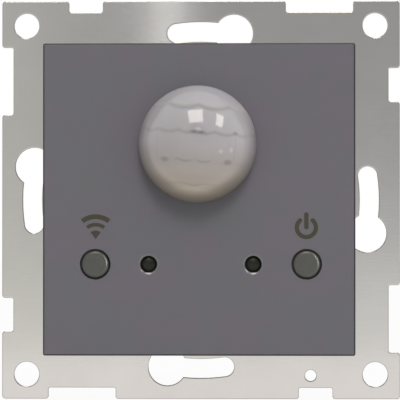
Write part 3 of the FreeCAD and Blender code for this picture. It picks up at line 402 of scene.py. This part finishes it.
# Each finish by material slot: what it is made of and how, and where it differs from the basis. Sizes in mm,
# but the depth of the grain is a share of its width.
plasticBasis = {
    "roughness": 0.5, "uneven": (-0.06, 0.06), "grainMm": 0.2, "grainDeep": 0.25, "bump": 0.2,
    "cloudMm": 2, "edgeMm": 0.1, "ior": 1.53}
plasticLooks = {
    "insert_plastic": {   # off a spark-eroded tool: matt and even
        "made": "mouldedPolycarbonate", "dark": "#8d8f90", "light": "#a3a5a4",
        "roughness": 0.55, "grainMm": 0.25, "cloudMm": 9, "bump": 0.4, "edgeMm": 0.25},
    "header_plastic": {   # black and dull
        "made": "mouldedPolyamide", "dark": "#191a1b", "light": "#232425",
        "grainMm": 0.12, "cloudMm": 4, "bump": 0.3, "ior": 1.55},
    "relay_case": {   # blue, satin
        "made": "mouldedPolyester", "dark": "#1f4f90", "light": "#285a9e",
        "roughness": 0.4, "cloudMm": 6, "edgeMm": 0.3, "ior": 1.55},
    "transformer_core": {   # dark, dry and faintly grainy
        "made": "sinteredFerrite", "dark": "#232426", "light": "#323336",
        "roughness": 0.6, "grainMm": 0.12, "cloudMm": 3, "bump": 0.5, "edgeMm": 0.2, "ior": 1.8},
    "filter_capacitor_case": {   # yellow and rather glossy
        "made": "pottedCase", "dark": "#c39a24", "light": "#d2a92f",
        "roughness": 0.35, "cloudMm": 5, "edgeMm": 0.3, "ior": 1.5},
    "capacitor_sleeve": {   # pulled tight: glossy, a little wavy
        "made": "shrunkVinylSleeve", "dark": "#13161d", "light": "#1e222c",
        "roughness": 0.3, "grainMm": 0.3, "cloudMm": 4, "edgeMm": 0.3, "ior": 1.5},
    "varistor_coat": {   # glossy and lumpy, as it ran off
        "made": "dippedEpoxy", "dark": "#1c4486", "light": "#28569c",
        "roughness": 0.3, "grainMm": 0.5, "cloudMm": 3, "bump": 0.4, "edgeMm": 0.4, "ior": 1.55},
    "fuse_body": {   # brown and glossy
        "made": "dippedResin", "dark": "#6d6750", "light": "#857e64",
        "roughness": 0.3, "grainMm": 0.3, "edgeMm": 0.2, "ior": 1.5},
    "terminal_plastic": {   # dark grey, satin
        "made": "mouldedNylon", "dark": "#46484a", "light": "#535557",
        "cloudMm": 6, "bump": 0.35, "edgeMm": 0.2},
    "retainer_plastic": {   # black, slightly waxy
        "made": "mouldedAcetal", "dark": "#232326", "light": "#2c2c30",
        "cloudMm": 6, "bump": 0.3, "edgeMm": 0.15},
    "button_plastic": {   # smoke grey off a polished tool: it catches the lamps
        "made": "polishedAbs", "dark": "#484843", "light": "#4f4f4b",
        "roughness": 0.3, "grainMm": 0.15, "cloudMm": 3, "bump": 0.1, "ior": 1.52},
    "plunger_plastic": {   # cream, satin
        "made": "naturalAcetal", "dark": "#c4bfb2", "light": "#cec9bc",
        "roughness": 0.45, "grainMm": 0.15, "ior": 1.48},
    "switch_case": {   # black and dull
        "made": "filledPolymer", "dark": "#1c1c1c", "light": "#262626",
        "grainMm": 0.12, "bump": 0.3, "ior": 1.55},
    "smoked_pipe": {   # tinted until it looks nearly black
        "made": "smokedAcrylic", "dark": "#13150d", "light": "#1c1e16",
        "roughness": 0.36, "grainMm": 0.3, "cloudMm": 0.8, "bump": 0.05, "ior": 1.36},
    "light_chip": {   # yellowish and wet-looking
        "made": "castSilicone", "dark": "#cfc79a", "light": "#e0d9b0",
        "roughness": 0.2, "cloudMm": 1, "bump": 0.1, "edgeMm": 0.05, "ior": 1.5},
    "filter_silicon": {   # lapped flat: a dark mirror
        "made": "coatedSilicon", "dark": "#303035", "light": "#3a3a41",
        "roughness": 0.12, "grainMm": 0.3, "bump": 0.05, "edgeMm": 0.05, "ior": 2.0},
    "spacer_plastic": {   # off-white, satin
        "made": "naturalNylon", "dark": "#cfccc2", "light": "#d8d5cb", "grainMm": 0.15, "ior": 1.5},
    "chip_epoxy": {   # dull black
        "made": "pressedEpoxy", "dark": "#1b1b1d", "light": "#252527",
        "roughness": 0.55, "grainMm": 0.1, "bump": 0.3, "edgeMm": 0.05, "ior": 1.55},
    "head_back_plastic": {   # black, matt from the tool's grain
        "made": "mouldedAbs", "dark": "#26262a", "light": "#303034",
        "roughness": 0.55, "cloudMm": 7, "bump": 0.35, "edgeMm": 0.15},
}

metalBasis = {
    "roughness": 0.3, "uneven": (-0.08, 0.1), "lineMm": 0.1, "lineDeepMm": 0.01, "bump": 0.3,
    "cloudMm": 2, "edgeMm": 0.08, "lay": (1, 1, 1)}
metalLooks = {
    "rivet_aluminium": {   # pale, softly dull
        "made": "headedAluminium", "dark": "#bcbcbd", "light": "#cbcbcb", "roughness": 0.38, "lineMm": 0.2},
    "zinc_plated_steel": {   # bright, a touch yellow in places
        "made": "zincPlatedSteel", "dark": "#aeb0ae", "light": "#c3c2ba", "lineMm": 0.2, "cloudMm": 1.5},
    "spring_steel": {   # fine lines along the strip
        "made": "rolledSpringSteel", "dark": "#aaa8a2", "light": "#bcbab2",
        "roughness": 0.32, "cloudMm": 3, "lay": (0.1, 1, 1)},
    "bar_brass": {   # yellow, with the strip's lines
        "made": "stampedBrass", "dark": "#b08c4a", "light": "#c6a35c",
        "roughness": 0.35, "cloudMm": 3, "lay": (0.1, 1, 1)},
    "cage_steel": {   # grey-white
        "made": "nickelPlatedSteel", "dark": "#aaaba9", "light": "#bdbcb4",
        "roughness": 0.35, "lineMm": 0.15, "lay": (1, 0.1, 1)},
    "can_nickel": {   # drawn and plated: the brightest of them
        "made": "drawnNickelCan", "dark": "#b4b1aa", "light": "#c4c1ba", "roughness": 0.18, "lineMm": 0.2},
    "lead_tin": {   # silvery, fine-lined
        "made": "tinnedWire", "dark": "#b2b2b0", "light": "#c0c0be", "cloudMm": 1},
    "pin_gold": {   # warm and bright
        "made": "goldPlatedPin", "dark": "#c9a04c", "light": "#dcb45e", "roughness": 0.22, "cloudMm": 1},
    "shield_tin": {   # pale, rolled lines
        "made": "tinplate", "dark": "#abacab", "light": "#bcbcba",
        "lineMm": 0.12, "cloudMm": 3, "lay": (0.1, 1, 1)},
}

# Lens dome: outside a smooth half ball on its foot, inside three tiers of lens fields that curve inwards.
lensLook = {
    "centre": (-0.25, -11.5, 9.7), "outer": 10.3, "wall": 0.9,
    "footRear": -8.9, "flange": 11.5, "flangeRear": -8.3,
    "tilt": 4.3,   # the fields sit turned a little in the cover, in degrees clockwise
    "tiers": (-44.5, -17.2, 11.3, 40.5),   # latitudes of the seams between tiers, in degrees
    "columns": (-64.0, -41.0, -17.7, 0.5, 18.4, 42.0, 64.0),   # longitudes of the seams between columns
    # how far the foot swells, each after its depth behind the centre
    "flare": ((0.35, 0.004), (0.65, 0.015), (0.85, 0.032), (0.98, 0.052)),
    "bulge": 0.35, "rings": 72, "turns": 192,
    # finish: seams seen through the wall, in degrees, with how dark they are along the columns
    "seams": (
        {"arc": "wide", "at": 40.3, "sag": -4.0, "width": 4.8, "dark": 0.25,
         "along": [(0.0, 0.0), (0.14, 0.0), (0.2, 0.8), (0.5, 1.0), (0.82, 0.8), (0.9, 0.0)]},
        {"arc": "narrow", "at": 11.6, "sag": -2.2, "width": 3.2, "dark": 0.18,
         "along": [(0.0, 0.4), (0.15, 0.8), (0.3, 0.9), (0.5, 1.0), (0.8, 1.0), (1.0, 0.4)]},
        {"arc": "narrow", "at": -16.4, "sag": -1.8, "width": 2.4, "dark": 0.19,
         "along": [(0.17, 0.0), (0.22, 0.2), (0.33, 0.1), (0.36, 1.0), (0.45, 0.9), (0.475, 0.45),
                   (0.52, 0.35), (0.545, 0.9), (0.62, 0.8), (0.65, 0.1), (0.85, 0.1)]},
        {"arc": "wide", "at": -45.6, "sag": 2.6, "width": 3.0, "dark": 0.13,
         "along": [(0.1, 0.0), (0.3, 0.55), (0.45, 1.0), (0.55, 1.0), (0.7, 0.55), (0.9, 0.0)]},
    ),
    # the upright ones: how dark, how high the wave between columns is at their edge, how far below the middle
    # of the ball their tier's middle lies, and how far from that they end and are full, in degrees
    "upright": 0.09, "uprightWide": 0.16, "uprightMiddle": 2.2, "uprightEnds": (14.5, 11.5),
    "uprightAlong": [
        (0.0, 0.3), (0.15, 0.9), (0.2, 1.0), (0.26, 0.2), (0.74, 0.2), (0.8, 0.8), (0.9, 0.8), (1.0, 0.3)],
    # lighter and darker places painted on the wall, some of them painted shade and painted highlights, on a
    # ball of radius 1, full within the core's share of the radius
    "markCore": 0.35,
    "marks": (
        {"at": (0.029, -0.97, 0.223), "stretch": (0.9, 0.9, 1.1), "radius": 0.065, "gain": 0.27},
        {"at": (0.024, -0.98, 0.205), "stretch": (0.9, 0.9, 1.4), "radius": 0.22, "gain": -0.07},
        # painted shade under the light dot above it
        {"at": (0.028, -0.985, 0.185), "stretch": (0.42, 0.9, 1.5), "radius": 0.075, "gain": -0.26},
        {"at": (0.655, -0.726, 0.209), "stretch": (0.9, 0.9, 1.2), "radius": 0.06, "gain": -0.18},
        {"at": (-0.03, -0.58, -0.814), "stretch": (0.2, 0.3, 1.1), "radius": 0.11, "gain": 0.13},
        {"at": (-0.498, -0.81, -0.306), "stretch": (0.7, 0.7, 1.2), "radius": 0.08, "gain": -0.22},
        {"at": (0.563, -0.775, -0.289), "stretch": (0.7, 0.7, 1.2), "radius": 0.08, "gain": -0.26},
        # the last two: painted highlights, small reflections of lights
        {"at": (0.436, -0.893, -0.114), "stretch": (1.0, 1.0, 1.0), "radius": 0.05, "gain": 0.24},
        {"at": (0.604, -0.793, -0.076), "stretch": (1.0, 1.0, 0.8), "radius": 0.05, "gain": 0.24},
    ),
    # painted light: the milk's tint by height, warmer towards the bottom and cooler and lighter towards the
    # top
    "milkAndPaintedTint": ((0.0, "#aea293"), (0.1, "#afa497"), (0.18, "#aea399"), (0.257, "#aca49d"), (0.335, "#a59e9b"),
             (0.41, "#a6a09e"), (0.49, "#aaa4a6"), (0.65, "#aca8aa"), (0.85, "#b1adb1"), (1.0, "#b3aeb3")),
    # the cap's field from below its seam (0) to its top (1), over this span of latitude in radians: halves of
    # its gain in light, and its tint
    "capSpan": (-0.1, 0.4),
    "capGain": [(0.0, 0.5), (0.19, 0.495), (0.215, 0.54), (0.5, 0.51), (1.0, 0.5)],
    "capTint": [
        (0.19, white), (0.22, (1.0, 0.995, 0.935, 1.0)), (0.36, (1.0, 0.995, 0.94, 1.0)), (0.5, white)],
    # painted shading: how light the wall is painted from its foot (0) to its front (1), at the bottom, at the
    # sides and at the top, darker below and lighter above as light falls from above
    "paintedShadingLow": [(0.0, 0.42), (0.2, 0.55), (0.38, 0.66), (0.486, 0.83), (0.593, 1.08), (0.676, 1.1),
                 (0.8, 0.98), (1.0, 1.0)],
    "paintedShadingSide": [(0.0, 0.72), (0.2, 0.84), (0.37, 0.97), (0.475, 1.12), (0.586, 1.12), (0.683, 1.09),
                  (0.88, 1.03), (1.0, 1.0)],
    "paintedShadingHigh": [(0.0, 1.3), (0.17, 1.25), (0.3, 1.12), (0.4, 1.04), (0.55, 0.95), (0.7, 0.98), (1.0, 1.0)],
    "paintedShadingPeak": 1.5,
    "paintedShadingBlends": ((-0.75, -0.1), (0.15, 0.75)),   # heights at which each gives way to the next
    "roughness": 0.05, "uneven": (-0.01, 0.02), "hazeMm": 0.9, "sheen": 0.5, "polishSpan": (0.05, 0.42),
    "ior": 1.54, "milkiness": 0.25, "glow": (1.0, 0.95, 0.9), "glowMm": 1.5,
}
sharpAngle = math.radians(40)   # edges of the turned shapes that bend more stay sharp


def lensFieldDepth(direction):
    # how far the inner face stands in from its plain ball along a direction, in mm
    tilt = math.radians(lensLook["tilt"])
    x = direction[0] * math.cos(tilt) - direction[2] * math.sin(tilt)
    z = direction[0] * math.sin(tilt) + direction[2] * math.cos(tilt)
    latitude = math.degrees(math.asin(max(-1.0, min(1.0, z))))
    longitude = math.degrees(math.atan2(x, max(1e-6, -direction[1])))
    across = up = 1.0
    for low, high in zip(lensLook["columns"], lensLook["columns"][1:]):
        if low <= longitude < high:
            across = 2 * (longitude - low) / (high - low) - 1
    tiers = (-90.0,) + lensLook["tiers"] + (90.0,)
    for low, high in zip(tiers, tiers[1:]):
        if low <= latitude < high:
            up = 2 * (latitude - low) / (high - low) - 1
    return lensLook["bulge"] * max(0.0, (1 - across ** 2) * (1 - up ** 2))


def turnedMesh(name, rings, tips, turns, drawIn=None):
    # a closed shape turned about Y: rings of (radius, depth, drawn in or not) between two tips' depths, in mm
    shape = bmesh.new()
    rows = []
    for radius, depth, drawn in rings:
        row = []
        for k in range(turns):
            turn = 2 * math.pi * k / turns
            point = Vector((radius * math.cos(turn), depth, radius * math.sin(turn)))
            if drawn:
                point *= 1 - drawIn(point.normalized())
            row.append(shape.verts.new(point * mm))
        rows.append(row)
    for first, second in zip(rows, rows[1:]):
        for k in range(turns):
            n = (k + 1) % turns
            shape.faces.new((first[k], first[n], second[n], second[k]))
    for depth, row in zip(tips, (rows[0], rows[-1])):
        tip = shape.verts.new(Vector((0, depth, 0)) * mm)
        for k in range(turns):
            shape.faces.new((tip, row[k], row[(k + 1) % turns]))
    bmesh.ops.recalc_face_normals(shape, faces=shape.faces)
    mesh = bpy.data.meshes.new(name)
    shape.to_mesh(mesh)
    shape.free()
    mesh.polygons.foreach_set("use_smooth", [True] * len(mesh.polygons))
    mesh.set_sharp_from_angle(angle=sharpAngle)
    return mesh


def buildLensDome(look):
    centre = Vector(look["centre"])
    quarter = [math.pi / 2 * i / look["rings"] for i in range(1, look["rings"] + 1)]
    inner = look["outer"] - look["wall"]
    foot, rear = look["footRear"] - centre.y, look["flangeRear"] - centre.y
    # each ring of points: radius from the axis, depth behind the centre, and whether it lies on the fields
    rings = [(look["outer"] * math.sin(a), -look["outer"] * math.cos(a), False) for a in quarter]
    rings += [(look["outer"] + spread, depth, False) for depth, spread in look["flare"]]
    rings += [(look["outer"] + look["flare"][-1][1], foot, False), (look["flange"], foot, False)]
    rings += [(look["flange"], rear, False), (inner, rear, False)]
    rings += [(inner * math.sin(a), -inner * math.cos(a), True) for a in reversed(quarter)]
    tips = (-look["outer"], -inner + lensFieldDepth((0, -1, 0)))
    mesh = turnedMesh("lensFields", rings, tips, look["turns"], lambda way: lensFieldDepth(way) / inner)
    dome = bpy.data.objects.new("lens_fields", mesh)
    dome.location = centre * mm
    scene.collection.objects.link(dome)
    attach(dome, "sensor_head")
    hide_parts("lens_dome")
    return dome


lensDome = buildLensDome(lensLook)
print("lens dome made")

# Snap domes: thin steel caps on the switches' floors, which flatten under the plungers.
snapLook = {"thick": 0.08, "give": 0.26, "rings": 10, "turns": 48}


def buildSnapDome(side, look):
    low, high = (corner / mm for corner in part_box(side + "_snap_dome"))
    foot, rise = (high.x - low.x) / 2, high.y - low.y
    outer = (foot ** 2 + rise ** 2) / (2 * rise)
    inner = outer - look["thick"]
    shares = [i / look["rings"] for i in range(1, look["rings"] + 1)]
    rings = []
    for radius, steps in ((outer, shares), (inner, reversed(shares))):
        reach = math.acos((outer - rise) / radius)
        rings += [(radius * math.sin(reach * s), -radius * math.cos(reach * s), False) for s in steps]
    mesh = turnedMesh("snapCap", rings, (-outer, -inner), look["turns"])
    piece = bpy.data.objects.new(side + "_snap_spring", mesh)
    middle = Vector(((low.x + high.x) / 2, high.y, (low.z + high.z) / 2))
    piece.location = (middle + Vector((0, outer - rise, 0))) * mm
    scene.collection.objects.link(piece)
    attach(piece, "sensor_head")
    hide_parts(side + "_snap_dome")
    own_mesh(piece)
    return piece


snapDomes = [buildSnapDome(side, snapLook) for side in ("wireless", "power")]
print("snap domes made")


# Printed symbols: generic radio waves and a standby mark, ink 0.02 mm proud of the cover.
symbolLook = {
    "face": -10.5, "ink": 0.02, "sink": 0.03, "endSteps": 10,
    "waves": {"apex": (-18.18, -6.97), "bands": ((0.0, 1.5), (2.2, 2.85), (3.5, 4.35)), "half": 37.0,
              "steps": 28},
    "standby": {"centre": (18.89, -4.95), "outer": 2.05, "stroke": 0.76, "gap": 41.0, "bar": (-5.27, -2.26),
                "steps": 60, "barSteps": 12},
}


def arcPoints(centre, radius, start, end, steps):
    # points on an arc, angles in degrees from straight up, clockwise positive
    turns = [math.radians(start + (end - start) * i / steps) for i in range(steps + 1)]
    return [(centre[0] + radius * math.sin(t), centre[1] + radius * math.cos(t)) for t in turns]


def strokeEnd(centre, radius, at, half, start):
    # half a circle from angle start on, that rounds off a curved stroke of width 2 half at angle at
    middle = math.radians(at)
    heart = (centre[0] + radius * math.sin(middle), centre[1] + radius * math.cos(middle))
    return arcPoints(heart, half, start, start + 180, symbolLook["endSteps"])[1:-1]


def printOutlines(name, outlines):
    shape = bmesh.new()
    front, back = symbolLook["face"] - symbolLook["ink"], symbolLook["face"] + symbolLook["sink"]
    for outline in outlines:
        proud = [shape.verts.new((x * mm, front * mm, z * mm)) for x, z in outline]
        sunk = [shape.verts.new((x * mm, back * mm, z * mm)) for x, z in outline]
        shape.faces.new(proud)
        shape.faces.new(list(reversed(sunk)))
        for k in range(len(outline)):
            n = (k + 1) % len(outline)
            shape.faces.new((proud[k], sunk[k], sunk[n], proud[n]))
    bmesh.ops.recalc_face_normals(shape, faces=shape.faces)
    bmesh.ops.triangulate(shape, faces=[f for f in shape.faces if len(f.verts) > 4])
    mesh = bpy.data.meshes.new(name)
    shape.to_mesh(mesh)
    shape.free()
    piece = bpy.data.objects.new(name, mesh)
    scene.collection.objects.link(piece)
    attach(piece, "sensor_head")
    return piece


waves = symbolLook["waves"]
half, steps = waves["half"], waves["steps"]
waveOutlines = []
for low, high in waves["bands"]:
    outer = arcPoints(waves["apex"], high, -half, half, steps)
    inner = arcPoints(waves["apex"], low, half, -half, steps) if low else [waves["apex"]]
    waveOutlines.append(outer + inner)
wirelessSymbol = printOutlines("wireless_symbol", waveOutlines)

standby = symbolLook["standby"]
centre, outer, start, steps = standby["centre"], standby["outer"], standby["gap"], standby["steps"]
end, stroke, halfStroke = 360 - start, standby["stroke"], standby["stroke"] / 2
ringOutline = arcPoints(centre, outer, start, end, steps)
ringOutline += strokeEnd(centre, outer - halfStroke, end, halfStroke, end)
ringOutline += arcPoints(centre, outer - stroke, end, start, steps)
ringOutline += strokeEnd(centre, outer - halfStroke, start, halfStroke, start + 180)
barLow, barHigh = standby["bar"]
barOutline = arcPoints((centre[0], barHigh - halfStroke), halfStroke, -90, 90, standby["barSteps"])
barOutline += arcPoints((centre[0], barLow + halfStroke), halfStroke, 90, 270, standby["barSteps"])
powerSymbol = printOutlines("power_symbol", [ringOutline, barOutline])
print("symbols printed")

finishes = {slot: mouldedPlastic({**plasticBasis, **look}) for slot, look in plasticLooks.items()}
finishes.update({slot: platedMetal({**metalBasis, **look}) for slot, look in metalLooks.items()})
ringLook = {
    "dark": "#d4d0cc", "light": "#e0dcd8", "cloudMm": 9.0, "roughness": 0.074, "uneven": (-0.015, 0.02),
    "lineMm": 0.09, "lineDeepMm": 0.004, "lineShare": 0.35, "lay": (0.015, 1.0, 1.0), "bump": 0.35,
    # the rolled-over edge's painted shade: its colour and strength, its radius, and how far it leans where it
    # shows
    "edge": "#7d7b77", "edgeDark": 0.9, "edgeMm": 0.28, "edgeLean": (0.998, 0.9)}
windowCentres = []
for pipe in ("status_light_pipe", "daylight_light_pipe"):
    low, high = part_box(pipe)
    windowCentres.append(((low.x + high.x) / 2, 0.0, (low.z + high.z) / 2))
coverLook = {
    "cool": "#646368", "warm": "#67626a", "cloudMm": 7.0, "drift": (0.4, 0.6), "ior": 1.5,
    "roughness": 0.45, "uneven": (-0.05, 0.05), "grainMm": 0.14, "grainDeepMm": 0.02, "bump": 0.25,
    # the darker rounding, in mm: half the cover's width, how wide it is, where it begins and how it fades in
    "edge": "#1f1d1f", "half": 27.5, "edgeWide": 0.3, "edgeRear": -10.05, "fadeWide": 0.06, "fadeDeep": 0.08,
    # the polished chamfers: how far from the middle of a window the polish ends and is full, in mm
    "chamfer": "#646266", "chamferRoughness": 0.26, "windows": windowCentres, "chamferSpan": (1.9, 1.78),
    "sheen": (0.5, 1.0)}
boardLook = {
    "dark": "#0f4a2a", "light": "#155431", "cloudMm": 4, "roughness": (0.24, 0.34), "bump": 0.4, "ior": 1.5,
    "laminate": "#8f8a55", "sideSpan": (0.7, 0.5),   # shows where a face has turned this far from the front
    # the pitch and height of the tracks in mm, and their other sizes and the holes as shares of the pitch
    "track": "#2a6e44", "trackMm": 1.1, "trackHighMm": 0.035, "trackWide": 0.09, "trackLong": 3.1,
    "trackApart": 0.62, "tin": "#b9b9b5", "holeShare": 0.55, "holeSpan": (0.11, 0.09)}
finishes["circuit_board"] = printedBoard(boardLook)
finishes["stainless_steel"] = brushedStainless(ringLook)
finishes["cover_plastic"] = satinLacquer(coverLook)
finishes["lens_polyethylene"] = milkyPolyethylene(lensLook)
for part in frame["record"]["subparts"]:
    cadObject = frame["nodes"][part["node"]]
    for materialSlot in cadObject.material_slots:
        materialSlot.material = finishes[part["material_slot"]]
lensDome.data.materials.append(finishes["lens_polyethylene"])
for snapDome in snapDomes:
    snapDome.data.materials.append(finishes["spring_steel"])
inkLook = {   # dull olive ink, a little thinner in places
    "made": "padPrintedInk", "dark": "#373223", "light": "#3e392a", "grainMm": 0.1, "cloudMm": 1, "bump": 0.1,
    "edgeMm": 0.02, "ior": 1.5}
ink = mouldedPlastic({**plasticBasis, **inkLook})
wirelessSymbol.data.materials.append(ink)
powerSymbol.data.materials.append(ink)
print("finishes set:", len(finishes))

# Camera: as far from the ring as the photograph's, a little to the right of the middle.
cameraLook = {   # places and lens in mm, how near and far it sees in metres
    "eye": (21.0, -630.0, -6.0), "aim": (-0.125, -1.0, -0.016), "lens": 317.3, "sensor": 36.0,
    "clip": (0.01, 20.0)}
camera = bpy.data.objects.new("camera", bpy.data.cameras.new("camera"))
scene.collection.objects.link(camera)
camera.data.lens = cameraLook["lens"]
camera.data.sensor_width = cameraLook["sensor"]
eye = Vector(cameraLook["eye"]) * mm
camera.location = eye
camera.rotation_euler = (Vector(cameraLook["aim"]) * mm - eye).to_track_quat("-Z", "Y").to_euler()
camera.data.clip_start, camera.data.clip_end = cameraLook["clip"]
scene.camera = camera

# Floor: pale paper under the ring's lower edge. Sizes in metres.
floorLook = {
    "half": 3.0, "front": -0.25, "rear": 3.0, "below": 0.00005, "paper": "#f4f3f0",
    "share": 0.94,   # how much of what is seen of it is plain white, and the rest paper with the shadow
    "mirrored": "#fcfbfa",   # that white in reflections
}
half, front, rear = floorLook["half"], floorLook["front"], floorLook["rear"]
corners = [(-half, front, 0), (half, front, 0), (half, rear, 0), (-half, rear, 0)]
floorMesh = bpy.data.meshes.new("floor")
floorMesh.from_pydata(corners, [], [(0, 1, 2, 3)])
floor = bpy.data.objects.new("floor", floorMesh)
floor.location.z = cadLow.z - floorLook["below"]
scene.collection.objects.link(floor)
paper, tree = newMaterial("paleFloor")
matt = addNode(tree, "BsdfDiffuse", inputs={"Color": hexToLinear(floorLook["paper"])})
rays = addNode(tree, "LightPath")
tint = addNode(tree, "Mix", colours, {
    0: rays.outputs["Is Glossy Ray"], 6: white, 7: hexToLinear(floorLook["mirrored"])})
glow = addNode(tree, "Emission", inputs={"Color": tint.outputs[2], "Strength": 1.0})
seen = addNode(tree, "Math", larger, {0: rays.outputs["Is Camera Ray"], 1: rays.outputs["Is Glossy Ray"]})
seen = addNode(tree, "Math", larger, {0: seen.outputs[0], 1: rays.outputs["Is Transmission Ray"]})
share = addNode(tree, "Math", times, {0: seen.outputs[0], 1: floorLook["share"]})
blend = addNode(tree, "MixShader", inputs={0: share.outputs[0], 1: matt.outputs[0], 2: glow.outputs[0]})
addNode(tree, "OutputMaterial", inputs={"Surface": blend.outputs[0]})
floorMesh.materials.append(paper)

# World: white where it is seen, directly or in a reflection, and softer where it only lights.
world = bpy.data.worlds.new("studioRoom")
scene.world = world
world.use_nodes = True
tree = world.node_tree
tree.nodes.clear()
worldLook = {
    "high": 0.68, "low": 0.12,   # light on matt surfaces from straight up and straight down
    "fromRight": 0.45,           # how much more light comes from the right than from the left
    # the room behind the camera in reflections: slope, brightness and blue, on its left and on its right
    "roomLeft": [(-0.06, 0.86, 0.93), (-0.0396, 0.85, 0.94), (-0.0254, 0.82, 0.96), (-0.0198, 0.78, 0.96),
                 (-0.0141, 0.70, 0.95), (-0.0084, 0.665, 0.94), (0.0213, 0.65, 0.95), (0.0545, 0.61, 0.97)],
    "roomRight": [(-0.06, 0.89, 0.985), (-0.045, 0.85, 0.985), (-0.0198, 0.825, 0.99), (-0.0141, 0.75, 1.0),
                  (-0.0084, 0.65, 1.01), (0.0029, 0.55, 1.02), (0.0143, 0.495, 1.03), (0.0257, 0.447, 1.03),
                  (0.0545, 0.41, 1.03)],
    "red": 0.985, "slopes": (-0.06, 0.06),
    "sideways": (-0.1135, -0.0325),   # where its left side gives way to its right side
    "behind": (-0.6, 0.1),            # where it gives way to plain white
}
rays = addNode(tree, "LightPath")
ray = addNode(tree, "TexCoord").outputs["Generated"]
way = addNode(tree, "SeparateXYZ", inputs={0: ray})
lift = addNode(tree, "MapRange", inputs={
    "Value": way.outputs["Z"], "From Min": -1.0, "From Max": 1.0,
    "To Min": worldLook["low"], "To Max": worldLook["high"]})
lean = addNode(tree, "Math", timesPlus, {0: way.outputs["X"], 1: worldLook["fromRight"], 2: 1.0})
soft = addNode(tree, "Math", times, {0: lift.outputs["Result"], 1: lean.outputs[0]})
softLight = addNode(tree, "Background", inputs={"Color": white, "Strength": soft.outputs[0]})
lowSlope, highSlope = worldLook["slopes"]
slope = addNode(tree, "MapRange", inputs={"Value": way.outputs["Z"], **span("From", worldLook["slopes"])})
rooms = []
for name in ("roomLeft", "roomRight"):
    stops = [((at - lowSlope) / (highSlope - lowSlope), (level * worldLook["red"], level, level * blue, 1.0))
             for at, level, blue in worldLook[name]]
    rooms.append(addNode(tree, "ValToRGB", inputs={0: slope.outputs["Result"]}, stops=stops))
across = addNode(tree, "MapRange", smooth, {"Value": way.outputs["X"], **span("From", worldLook["sideways"])})
room = addNode(tree, "Mix", colours, {
    0: across.outputs["Result"], 6: rooms[0].outputs["Color"], 7: rooms[1].outputs["Color"]})
behind = addNode(tree, "MapRange", smooth, {"Value": way.outputs["Y"], **span("From", worldLook["behind"])})
mirrored = addNode(tree, "Mix", colours, {0: behind.outputs["Result"], 6: room.outputs[2], 7: white})
inGloss = addNode(tree, "Background", inputs={"Color": mirrored.outputs[2], "Strength": 1.0})
inView = addNode(tree, "Background", inputs={"Color": white, "Strength": 1.0})
seen = addNode(tree, "Math", larger, {
    0: rays.outputs["Is Camera Ray"], 1: rays.outputs["Is Transmission Ray"]})
blend = addNode(tree, "MixShader", inputs={
    0: rays.outputs["Is Glossy Ray"], 1: softLight.outputs[0], 2: inGloss.outputs[0]})
blend = addNode(tree, "MixShader", inputs={0: seen.outputs[0], 1: blend.outputs[0], 2: inView.outputs[0]})
addNode(tree, "OutputWorld", inputs={"Surface": blend.outputs[0]})

# Lamps, aimed at the lens dome: one softbox only lights, and the others only show in gloss. Sizes in mm.
lampAim = Vector((0, -11, 9)) * mm
lampBasis = {"roll": 0, "colour": "#ffffff", "diffuse": False, "glossy": True}
lampLooks = {
    "keySoftbox": {"toward": (0.08, -0.80, 0.59), "distance": 600, "size": (170, 170), "watts": 1.55,
                   "diffuse": True, "glossy": False},
    "upperWindow": {"toward": (-0.030, -0.562, 0.826), "distance": 500, "size": (217, 244), "roll": 9,
                    "radiance": 6.6, "colour": "#fff9ee"},
    "sideWindow": {"toward": (0.645, -0.397, 0.653), "distance": 500, "size": (116, 222), "roll": -38,
                   "radiance": 6.6, "colour": "#fff9ee"},
    "buttonCard": {"toward": (0.755, -0.643, 0.08), "distance": 400, "size": (80, 330), "radiance": 22},
    "frontTube": {"toward": (-0.056, -0.9895, 0.1335), "distance": 494, "size": (6, 60), "radiance": 1.05},
}
for name, look in lampLooks.items():
    look = {**lampBasis, **look}
    lamp = bpy.data.lights.new(name, "AREA")
    lamp.shape = "RECTANGLE"
    lamp.size, lamp.size_y = look["size"][0] * mm, look["size"][1] * mm
    lamp.color = hexToLinear(look["colour"])[:3]
    lamp.energy = look["watts"] if "watts" in look else look["radiance"] * math.pi * lamp.size * lamp.size_y
    lampObject = bpy.data.objects.new(name, lamp)
    toward = Vector(look["toward"]).normalized()
    lampObject.location = lampAim + toward * look["distance"] * mm
    roll = Quaternion((0, 0, 1), math.radians(look["roll"]))
    lampObject.rotation_euler = ((-toward).to_track_quat("-Z", "Y") @ roll).to_euler()
    lampObject.visible_diffuse = look["diffuse"]
    lampObject.visible_glossy = look["glossy"]
    lampObject.visible_camera = False
    scene.collection.objects.link(lampObject)
    if name == "buttonCard":
        # a card set so that only the buttons catch it
        catchers = bpy.data.collections.new("cardCatchers")
        for button in ("wireless_button", "power_button"):
            catchers.objects.link(frame["nodes"][button])
        lampObject.light_linking.receiver_collection = catchers
print("camera, floor and lamps placed")
